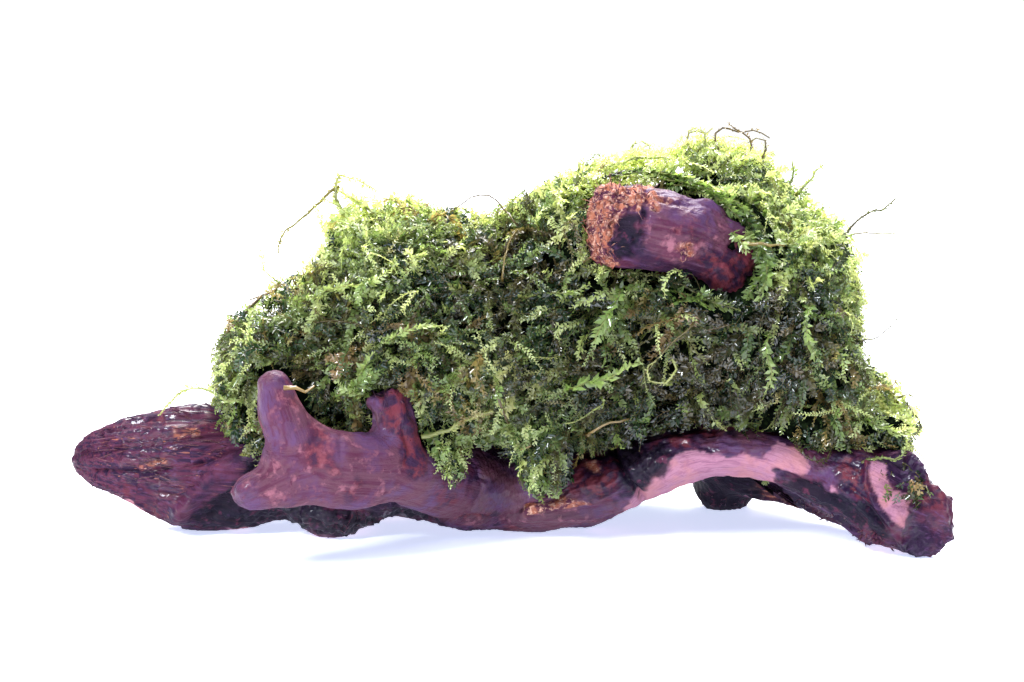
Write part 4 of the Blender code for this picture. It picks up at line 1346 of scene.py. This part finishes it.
def chain_object(name, lines, columns):
    """An object of edges only, one chain for each line, with columns of values for its points."""
    points = np.concatenate([np.array(line) for line in lines])
    counts = [len(line) for line in lines]
    starts = np.cumsum([0] + counts[:-1])
    edges = np.concatenate([np.stack((np.arange(n - 1), np.arange(1, n)), 1) + at for at, n in zip(starts, counts)])
    mesh = bpy.data.meshes.new(name)
    mesh.vertices.add(len(points))
    mesh.vertices.foreach_set("co", np.ascontiguousarray(points, np.float32).ravel())
    mesh.edges.add(len(edges))
    mesh.edges.foreach_set("vertices", np.ascontiguousarray(edges, np.int32).ravel())
    for key, values in columns.items():
        set_attribute(mesh, key, np.array(values, float))
    return add_object(name, mesh)


def shoot_object(name, lines):
    """The chains of one clump's shoots, for the shoot tree to dress."""
    columns = {key: [] for key in ("flat", "tone", "dead", "leaf", "thick")}
    for line, flats, tone, dead, leaf, thick, _ in lines:
        columns["flat"] += flats
        # Along each shoot the tone goes from darker at the base to lighter at the tip: partly the young tips and
        # partly painted shade deeper in the heap.
        for share in np.linspace(0, 1, len(line)):
            swell = 0.75 + 0.5 * share * (1.6 - share) if share < 0.8 else 1.1 - 3 * (share - 0.8)
            columns["tone"].append(min(1, max(0.06, tone - 0.16 + 0.24 * share)))
            columns["dead"].append(dead)
            columns["leaf"].append(leaf * swell)
            columns["thick"].append(thick * (1 - 0.6 * share))
    return chain_object(name, [line[0] for line in lines], columns)


def leaf_object():
    """One leaf along +Y, of two faces folded at the midrib, one unit long."""
    points = np.array(((0, 0, 0), (-0.27, 0.40, 0.10), (0, 1, -0.08), (0.27, 0.40, 0.10)))
    mesh = new_mesh("leaf", points, np.array(((0, 2, 1), (0, 3, 2))))
    return add_object("leaf", mesh)


def shoot_tree(leaf, material):
    """Geometry nodes that give each chain of edges a stem and two ranks of leaves."""
    tree = bpy.data.node_groups.new("leafy_shoots", "GeometryNodeTree")
    face = tree.interface
    face.new_socket("Chains", in_out="INPUT", socket_type="NodeSocketGeometry")
    for label, default in (("Leaf length", 0.0013), ("Leaf spacing", 0.00045), ("Stem step", 0.002)):
        face.new_socket(label, in_out="INPUT", socket_type="NodeSocketFloat").default_value = default
    face.new_socket("Seed", in_out="INPUT", socket_type="NodeSocketInt")
    face.new_socket("Moss", in_out="OUTPUT", socket_type="NodeSocketGeometry")
    sheet = NodeSheet(tree)
    given = sheet.add("NodeGroupInput")
    curves = sheet.add("GeometryNodeMeshToCurve")
    sheet.link(given.outputs["Chains"], curves.inputs["Mesh"])

    def named(label, kind="FLOAT"):
        node = sheet.add("GeometryNodeInputNamedAttribute", data_type=kind)
        node.inputs["Name"].default_value = label
        return node.outputs["Attribute"]

    def vector_math(operation, first, second=None, scale=None):
        node = sheet.add("ShaderNodeVectorMath", operation=operation)
        sheet.feed(node.inputs[0], first)
        if second is not None:
            sheet.feed(node.inputs[1], second)
        if scale is not None:
            sheet.feed(node.inputs["Scale"], scale)
        return node.outputs["Vector"]

    def random_value(low, high, shift):
        node = sheet.add("FunctionNodeRandomValue", data_type="FLOAT")
        node.inputs[2].default_value = low
        node.inputs[3].default_value = high
        sheet.link(sheet.math("ADD", given.outputs["Seed"], float(shift)), node.inputs["Seed"])
        return node.outputs[1]

    stems = sheet.add("GeometryNodeResampleCurve", mode="LENGTH")
    sheet.link(curves.outputs["Curve"], stems.inputs["Curve"])
    sheet.link(given.outputs["Stem step"], stems.inputs["Length"])
    profile = sheet.add("GeometryNodeCurvePrimitiveCircle")
    profile.inputs["Resolution"].default_value = 3
    profile.inputs["Radius"].default_value = 1.0
    tube = sheet.add("GeometryNodeCurveToMesh")
    tube.inputs["Fill Caps"].default_value = True
    sheet.link(stems.outputs["Curve"], tube.inputs["Curve"])
    sheet.link(named("thick"), tube.inputs["Scale"])
    sheet.link(profile.outputs["Curve"], tube.inputs["Profile Curve"])
    browner = sheet.add("GeometryNodeStoreNamedAttribute", data_type="FLOAT", domain="POINT")
    browner.inputs["Name"].default_value = "dead"
    sheet.link(tube.outputs["Mesh"], browner.inputs["Geometry"])
    sheet.link(sheet.math("MAXIMUM", named("dead"), 0.35), browner.inputs["Value"])

    spots = sheet.add("GeometryNodeCurveToPoints", mode="LENGTH")
    sheet.link(curves.outputs["Curve"], spots.inputs["Curve"])
    sheet.link(given.outputs["Leaf spacing"], spots.inputs["Length"])
    index = sheet.add("GeometryNodeInputIndex").outputs["Index"]
    hand = sheet.math("SUBTRACT", sheet.math("MULTIPLY", sheet.math("MODULO", index, 2.0), 2.0), 1.0)
    tangent = spots.outputs["Tangent"]
    flat = vector_math("NORMALIZE", named("flat", "FLOAT_VECTOR"))
    upward = vector_math("CROSS_PRODUCT", flat, tangent)
    roll = random_value(-0.9, 0.9, 1)
    flat_share = sheet.math("MULTIPLY", sheet.math("COSINE", roll), hand)
    side = vector_math("ADD", vector_math("SCALE", flat, scale=flat_share),
                       vector_math("SCALE", upward, scale=sheet.math("SINE", roll)))
    opening = random_value(0.60, 1.15, 2)
    way = vector_math("ADD", vector_math("SCALE", tangent, scale=sheet.math("COSINE", opening)),
                      vector_math("SCALE", side, scale=sheet.math("SINE", opening)))
    turn = sheet.add("FunctionNodeAxesToRotation", primary_axis="Y", secondary_axis="Z")
    sheet.link(way, turn.inputs["Primary Axis"])
    sheet.link(vector_math("ADD", upward, vector_math("SCALE", side, scale=random_value(-0.6, 0.6, 3))),
               turn.inputs["Secondary Axis"])
    size = sheet.math("MULTIPLY", named("leaf"), random_value(0.75, 1.2, 4))
    size = sheet.math("MULTIPLY", size, given.outputs["Leaf length"])
    leaves = sheet.add("GeometryNodeInstanceOnPoints")
    shape = sheet.add("GeometryNodeObjectInfo")
    shape.inputs["Object"].default_value = leaf
    sheet.link(spots.outputs["Points"], leaves.inputs["Points"])
    sheet.link(shape.outputs["Geometry"], leaves.inputs["Instance"])
    sheet.link(turn.outputs["Rotation"], leaves.inputs["Rotation"])
    sheet.link(size, leaves.inputs["Scale"])
    joined = sheet.add("GeometryNodeJoinGeometry")
    sheet.link(browner.outputs["Geometry"], joined.inputs["Geometry"])
    sheet.link(leaves.outputs["Instances"], joined.inputs["Geometry"])
    realized = sheet.add("GeometryNodeRealizeInstances")
    sheet.link(joined.outputs["Geometry"], realized.inputs["Geometry"])
    painted = sheet.add("GeometryNodeSetMaterial")
    painted.inputs["Material"].default_value = material
    sheet.link(realized.outputs["Geometry"], painted.inputs["Geometry"])
    result = sheet.add("NodeGroupOutput")
    sheet.link(painted.outputs["Geometry"], result.inputs["Moss"])
    return tree


def dressed(obj, tree, values):
    """A plain mesh of the object after the tree, with the tree's named inputs set."""
    modifier = obj.modifiers.new("shoots", "NODES")
    modifier.node_group = tree
    for item in tree.interface.items_tree:
        if item.in_out == "INPUT" and item.name in values:
            modifier[item.identifier] = values[item.name]
    return plain_mesh(obj)


def moss_material(settings):
    """Wet translucent leaves, from near-black green to yellow-green, or tan where dead. The tone that picks the green
    is partly the leaves' own colour and partly painted light and shade.
    """
    material, sheet, shader, output = new_material("moss")
    tone = sheet.attribute("tone")
    dead = sheet.attribute("dead")
    ramp = sheet.add("ShaderNodeValToRGB")
    stops = ramp.color_ramp
    # The near-black stops are painted shade of the heap's depth; the old leaf green is partly painted shade and the
    # young leaf yellow-green partly painted backlight.
    stops.elements[0].position = 0.0
    stops.elements[0].color = (0.003, 0.006, 0.003, 1)
    stops.elements[1].position = 1.0
    stops.elements[1].color = (*settings.young_and_backlit_leaf, 1)
    for position, colour in ((0.12, (0.010, 0.022, 0.006)), (0.45, settings.old_and_shaded_leaf), (0.75, settings.leaf)):
        stops.elements.new(position).color = (*colour, 1)
    sheet.link(tone, ramp.inputs["Fac"])
    colour = sheet.mix(dead, ramp.outputs["Color"], (*settings.dead_leaf, 1))
    sheet.link(colour, shader.inputs["Base Color"])
    shader.inputs["Roughness"].default_value = 0.25
    shader.inputs["Specular IOR Level"].default_value = 0.3
    shader.inputs["Coat Weight"].default_value = 1.0
    shader.inputs["Coat Roughness"].default_value = 0.08
    glow = sheet.add("ShaderNodeBsdfTranslucent")
    brighter = sheet.add("ShaderNodeMix", data_type="RGBA", blend_type="MULTIPLY")
    brighter.inputs["Factor"].default_value = 1.0
    brighter.inputs["B"].default_value = (1.9, 2.0, 1.3, 1)
    sheet.link(colour, brighter.inputs["A"])
    sheet.link(brighter.outputs["Result"], glow.inputs["Color"])
    both = sheet.add("ShaderNodeMixShader")
    sheet.link(sheet.ranged(tone, 0.03, 0.15, 0.0, 0.45), both.inputs["Fac"])
    sheet.link(shader.outputs["BSDF"], both.inputs[1])
    sheet.link(glow.outputs["BSDF"], both.inputs[2])
    sheet.link(both.outputs["Shader"], output.inputs["Surface"])
    return material


def shade_core_material():
    """The heap's inside as a near-black body of painted shade, where no single shoot can be made out."""
    material, sheet, shader, _ = new_material("moss_shade_core")
    here = sheet.add("ShaderNodeTexCoord").outputs["Object"]
    tangle = sheet.noise(here, 700, (1, 1, 1), 4, 0.7)
    # Painted shade: near-black with a faint green tangle.
    shade = sheet.mix(sheet.ranged(tangle, 0.45, 0.75), (0.002, 0.003, 0.002, 1), (0.016, 0.026, 0.009, 1))
    sheet.link(shade, shader.inputs["Base Color"])
    shader.inputs["Roughness"].default_value = 0.9
    shader.inputs["Specular IOR Level"].default_value = 0.0
    return material


def core_parts(points, triangles, edges, bare, depth):
    """The heap's inside as painted shade: a near-black body shrunk from its skin, as one closed part for each clump.
    """
    for _ in range(8):
        points = points - normals_of(points, triangles) * (depth / 8)
        points = points + 0.5 * (neighbour_mean(points, edges) - points)
    points = drawn_in(points, HEAP_OUTLINE, np.ones(len(points), bool), 12)
    places = to_picture(points)
    tree = BVHTree.FromPolygons(points.tolist(), triangles.tolist())
    for outline, back in BARE:
        hidden = smoothstep(inside_outline(places, outline), -22, -8)
        for index in np.nonzero((hidden > 0) & (points[:, 1] < back * MM))[0]:
            y = points[index, 1]
            far_side = tree.ray_cast(Vector(points[index]) + Vector((0, 0.05 * MM, 0)), Vector((0, 1, 0)))[0]
            end = y if far_side is None else max(y, min(back * MM, far_side.y - 0.8 * MM))
            points[index, 1] += hidden[index] * (end - y)
    fringe = BARE[0][0]
    before = np.array([bare.blocks(Vector(point), 0, 0) for point in points])
    before &= inside_outline(to_picture(points), fringe) > -6
    points = drawn_in(points, fringe, before, 8, -1)
    middles = points[triangles].mean(axis=1)
    labels = np.array([clump_of(middle) for middle in middles])
    return closed_pieces(points, triangles, labels, len(MOSS_NODES))


def joined_mesh(name, parts):
    """One mesh of several sets of points, triangles and attribute columns."""
    points = np.concatenate([part[0] for part in parts])
    starts = np.cumsum([0] + [len(part[0]) for part in parts[:-1]])
    triangles = np.concatenate([part[1] + start for part, start in zip(parts, starts)])
    mesh = new_mesh(name, points, triangles)
    for key in parts[0][2]:
        set_attribute(mesh, key, np.concatenate([part[2][key] for part in parts]))
    return mesh


def column(mesh, name):
    layer = mesh.attributes[name]
    values = np.empty(len(layer.data), np.float32)
    layer.data.foreach_get("value", values)
    return values


def set_bake_map(mesh):
    """A UV map that lays each face where its tone and dryness are, because its colour has no other cause."""
    tone = column(mesh, "tone")
    dead = column(mesh, "dead")
    corners = np.empty(len(mesh.loops), np.int32)
    mesh.loops.foreach_get("vertex_index", corners)
    nudges = np.tile(((0, 0), (0.003, 0), (0, 0.003)), (len(mesh.polygons), 1))
    places = np.stack((0.02 + 0.94 * tone[corners], 0.02 + 0.94 * dead[corners]), axis=1) + nudges
    layer = mesh.uv_layers.new(name="OFBake")
    layer.uv.foreach_set("vector", np.ascontiguousarray(places, np.float32).ravel())


class WoodSettings(bpy.types.PropertyGroup):
    """Sizes and colours of the driftwood."""

    seed: IntProperty(name="Seed", description="Picks another spread of the loose fibres", default=3)
    voxel: length_property("Remesh size", "Edge of the fine wood mesh", 0.42 * MM)
    smoothing: IntProperty(name="Smoothing", description="Passes that round the CAD facets", default=60)
    fibre_relief: length_property("Fibre relief", "Height of the split fibres of the root end", 0.34 * MM)
    wet_bark: colour_property("Wet bark", "Dark wet bark", (0.020, 0.006, 0.026))
    red_bark: colour_property("Red bark", "Red-brown bark", (0.080, 0.016, 0.038))
    deep_red: colour_property("Deep red", "Wet red wood", (0.135, 0.020, 0.028))
    mauve_bark: colour_property("Mauve bark", "Smooth mauve skin and lighter crests", (0.088, 0.037, 0.096))
    warm_bark: colour_property("Warm bark", "Reddish blotches of the mauve skin", (0.108, 0.037, 0.057))
    rosy_bark: colour_property("Rosy bark", "Rubbed reddish skin", (0.275, 0.100, 0.130))
    dry_skin: colour_property("Dry skin", "Pale dry skin", (0.38, 0.17, 0.235))
    dry_salmon: colour_property("Dry salmon", "Orange tint of the dry skin", (0.43, 0.175, 0.175))
    dry_shade: colour_property("Dry shade", "Darker lines of the dry skin", (0.25, 0.095, 0.155))
    torn_fibre: colour_property("Torn fibre", "Broken orange fibre", (0.36, 0.12, 0.07))
    pale_fibre: colour_property("Pale fibre", "Pale ends of broken fibre", (0.55, 0.30, 0.22))


class MossSettings(bpy.types.PropertyGroup):
    """Sizes, numbers and colours of the java moss."""

    seed: IntProperty(name="Seed", description="Picks another growth of the same moss", default=7)
    tufts: IntProperty(name="Tufts", description="Number of tufts", default=1000)
    fronds: IntProperty(name="Fronds", description="Main shoots in a tuft", default=5)
    wispy: FloatProperty(name="Wispy", description="Share of long thin shoots", subtype="FACTOR", default=0.16)
    step: length_property("Step", "Length of each growth step", 0.8 * MM)
    frond_length: length_property("Frond length", "Usual length of a main shoot", 16 * MM)
    side_length: length_property("Side length", "Greatest length of a side shoot", 5.5 * MM)
    side_spacing: length_property("Side spacing", "Usual space between side shoots", 3.4 * MM)
    leaf_length: length_property("Leaf length", "Length of a leaf", 1.25 * MM)
    leaf_spacing: length_property("Leaf spacing", "Space between leaves along a shoot", 0.36 * MM)
    stem_radius: length_property("Stem radius", "Radius of a main stem", 0.15 * MM)
    heel_sink: length_property("Heel sink", "How deep the heel tuft sits in the foot's hollow", 2.2 * MM)
    # The dark inside is a body of painted shade.
    core_depth: length_property("Core depth", "Depth of the dark inside below the skin", 6.5 * MM)
    # Young leaf is partly the tips' own yellow-green and partly painted backlight; old leaf is partly the deep green
    # of old leaves and partly painted shade.
    young_and_backlit_leaf: colour_property("Young leaf", "Yellow-green tips", (0.56, 0.61, 0.28))
    leaf: colour_property("Leaf", "Fresh green leaves", (0.215, 0.295, 0.090))
    old_and_shaded_leaf: colour_property("Old leaf", "Deep green leaves", (0.022, 0.046, 0.018))
    dead_leaf: colour_property("Dead leaf", "Tan dead strands", (0.30, 0.19, 0.08))


class StageSettings(bpy.types.PropertyGroup):
    """Floor and lights of the photo table."""

    floor_colour: colour_property("Floor", "White floor", (0.90, 0.90, 0.90))
    floor_glow: colour_property("Floor glow", "Cool light that the floor gives off", (0.60, 0.66, 0.86))
    surround_colour: colour_property("Surround", "Cool light from all round", (0.52, 0.63, 1.0))
    surround_strength: FloatProperty(name="Surround strength", description="Strength of the cool light", default=0.32)
    back_power: FloatProperty(name="Back light", description="Power of the light above the back", default=20, unit="POWER")
    front_power: FloatProperty(name="Front light", description="Power of the front softbox", default=7, unit="POWER")
    top_power: FloatProperty(name="Top light", description="Power of the wide top softbox", default=4, unit="POWER")


class DRIFTWOOD_OT_wood(bpy.types.Operator):
    """Carve the driftwood and part it at its forks"""

    bl_idname = "driftwood.wood"
    bl_label = "Carve driftwood"

    def execute(self, context):
        settings = context.scene.driftwood_wood
        points, triangles, grain, masks = carve_wood(settings)
        labels = wood_labels(points, triangles)
        normals = normals_of(points, triangles)
        splinters = splinter_lines(random.Random(settings.seed), points, triangles, labels)
        parted = closed_pieces(points, triangles, labels, len(WOOD_NODES))
        for label, (name, slot, (used, place, faces)) in enumerate(zip(WOOD_NODES, WOOD_SLOTS, parted)):
            material = wood_material(slot, settings)
            extra = len(place) - len(used)
            columns = {"grain": np.pad(grain[used], ((0, extra), (0, 0)))}
            for mask, values in masks.items():
                columns[mask] = np.pad(values[used], (0, extra))
            facing = [normals[used], np.tile((0, 0, 1.0), (extra, 1))]
            parts = [(place, faces, columns)]
            lines = [line for line in splinters if line[3] == label]
            if lines:
                parts.append(splinter_part(name, lines, material, masks))
                facing.append(normals_of(*parts[1][:2]))
            mesh = joined_mesh(name + "_carved", parts)
            mesh.shade_smooth()
            mesh.normals_split_custom_set_from_vertices(np.concatenate(facing).tolist())
            mesh.materials.append(material)
            mesh.validate(clean_customdata=False)
            print(name, "triangles", len(mesh.polygons))
            obj = add_object(name + "_carved", mesh)
            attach(obj, "root")
            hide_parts(name)
        return {"FINISHED"}


class DRIFTWOOD_OT_moss(bpy.types.Operator):
    """Grow the java moss over the wood"""

    bl_idname = "driftwood.moss"
    bl_label = "Grow moss"

    def execute(self, context):
        settings = context.scene.driftwood_moss
        shoots, cores = grow_moss(settings)
        material = moss_material(settings)
        inside = shade_core_material()
        leaf = leaf_object()
        tree = shoot_tree(leaf, material)
        values = {
            "Leaf length": settings.leaf_length,
            "Leaf spacing": settings.leaf_spacing,
            "Stem step": 2.0 * MM,
            "Seed": settings.seed,
        }
        for label, name in enumerate(MOSS_NODES):
            lines = [line for line in shoots if line[6] == label]
            if not lines:
                raise RuntimeError(f"{name} has no shoots")
            mesh = dressed(shoot_object(name + "_lines", lines), tree, values)
            place, faces = mesh_arrays(mesh)
            place[:, 2] = np.maximum(place[:, 2], 0.05 * MM)
            parts = [(place, faces, {key: column(mesh, key) for key in ("tone", "dead")})]
            bpy.data.meshes.remove(mesh)
            # The core is painted shade: near-black, with no tone and no dryness.
            _, core_place, core_faces = cores[label]
            if len(core_faces):
                nothing = np.zeros(len(core_place))
                parts.append((core_place, core_faces, {"tone": nothing, "dead": nothing}))
            whole = joined_mesh(name + "_shoots", parts)
            whole.materials.append(material)
            whole.materials.append(inside)
            whole.validate(clean_customdata=False)
            set_bake_map(whole)
            # The core's faces take the material of painted shade.
            inner = np.zeros(len(whole.polygons), np.int32)
            inner[len(faces):] = 1
            whole.polygons.foreach_set("material_index", inner)
            print(name, "triangles", len(whole.polygons))
            obj = add_object(name + "_shoots", whole)
            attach(obj, "root")
            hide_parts(name)
        bpy.data.objects.remove(leaf)
        return {"FINISHED"}


class DRIFTWOOD_OT_stage(bpy.types.Operator):
    """Set the floor, the lights and the camera"""

    bl_idname = "driftwood.stage"
    bl_label = "Set photo table"

    def execute(self, context):
        settings = context.scene.driftwood_stage
        half = 0.8
        corners = np.array(((-half, -half, 0), (half, -half, 0), (half, half, 0), (-half, half, 0)))
        mesh = new_mesh("floor", corners, np.array(((0, 1, 2), (0, 2, 3))))
        material, sheet, shader, _ = new_material("floor")
        shader.inputs["Base Color"].default_value = (*settings.floor_colour, 1)
        shader.inputs["Roughness"].default_value = 0.8
        shader.inputs["Emission Color"].default_value = (*settings.floor_glow, 1)
        shader.inputs["Emission Strength"].default_value = 1.0
        mesh.materials.append(material)
        floor = add_object("floor", mesh)
        world = bpy.data.worlds.new("surround")
        world.use_nodes = True
        world.node_tree.nodes.clear()
        sheet = NodeSheet(world.node_tree)
        cool = sheet.add("ShaderNodeBackground")
        cool.inputs["Color"].default_value = (*settings.surround_colour, 1)
        cool.inputs["Strength"].default_value = settings.surround_strength
        white = sheet.add("ShaderNodeBackground")
        white.inputs["Color"].default_value = (1, 1, 1, 1)
        white.inputs["Strength"].default_value = 1.1
        both = sheet.add("ShaderNodeMixShader")
        sheet.link(sheet.add("ShaderNodeLightPath").outputs["Is Camera Ray"], both.inputs["Fac"])
        sheet.link(cool.outputs["Background"], both.inputs[1])
        sheet.link(white.outputs["Background"], both.inputs[2])
        sheet.link(both.outputs["Shader"], sheet.add("ShaderNodeOutputWorld").inputs["Surface"])
        context.scene.world = world
        for name, power, size, place, colour in (
            ("back_light", settings.back_power, 0.6, (0.05, 0.38, 0.60), (1, 0.98, 0.95)),
            ("front_light", settings.front_power, 0.16, (-0.40, -0.45, 0.50), (0.88, 0.94, 1)),
            ("top_light", settings.top_power, 0.5, (0.15, -0.35, 0.70), (0.70, 0.80, 1)),
        ):
            light = bpy.data.lights.new(name, "AREA")
            light.energy = power
            light.size = size
            light.color = colour
            lamp = bpy.data.objects.new(name, light)
            lamp.location = place
            lamp.rotation_euler = (Vector((0, 0, 0.03)) - Vector(place)).to_track_quat("-Z", "Y").to_euler()
            context.scene.collection.objects.link(lamp)
        camera = bpy.data.cameras.new("camera")
        camera.lens = CAMERA_LENS
        camera.sensor_width = CAMERA_SENSOR
        camera.sensor_fit = "HORIZONTAL"
        viewer = bpy.data.objects.new("camera", camera)
        viewer.location = CAMERA_PLACE
        viewer.rotation_euler = (math.pi / 2 - CAMERA_ELEVATION, 0, 0)
        context.scene.collection.objects.link(viewer)
        context.scene.camera = viewer
        context.scene.view_settings.view_transform = "Standard"
        return {"FINISHED"}


class DRIFTWOOD_PT_panel(bpy.types.Panel):
    """Lists the steps and the settings of the driftwood"""

    bl_label = "Java moss on driftwood"
    bl_idname = "DRIFTWOOD_PT_panel"
    bl_space_type = "VIEW_3D"
    bl_region_type = "UI"
    bl_category = "Driftwood"

    def draw(self, context):
        for group, operator in STEPS:
            box = self.layout.box()
            settings = getattr(context.scene, group)
            for key in settings.__annotations__:
                box.prop(settings, key)
            box.operator(operator)


CLASSES = (
    WoodSettings,
    MossSettings,
    StageSettings,
    DRIFTWOOD_OT_wood,
    DRIFTWOOD_OT_moss,
    DRIFTWOOD_OT_stage,
    DRIFTWOOD_PT_panel,
)
STEPS = (
    ("driftwood_wood", "driftwood.wood"),
    ("driftwood_moss", "driftwood.moss"),
    ("driftwood_stage", "driftwood.stage"),
)


def register():
    for cls in CLASSES:
        bpy.utils.register_class(cls)
    bpy.types.Scene.driftwood_wood = PointerProperty(type=WoodSettings)
    bpy.types.Scene.driftwood_moss = PointerProperty(type=MossSettings)
    bpy.types.Scene.driftwood_stage = PointerProperty(type=StageSettings)


def unregister():
    del bpy.types.Scene.driftwood_stage
    del bpy.types.Scene.driftwood_moss
    del bpy.types.Scene.driftwood_wood
    for cls in reversed(CLASSES):
        bpy.utils.unregister_class(cls)


def main():
    register()
    bpy.ops.driftwood.wood()
    bpy.ops.driftwood.moss()
    bpy.ops.driftwood.stage()
    bpy.context.view_layer.update()


if __name__ == "__main__":
    main()
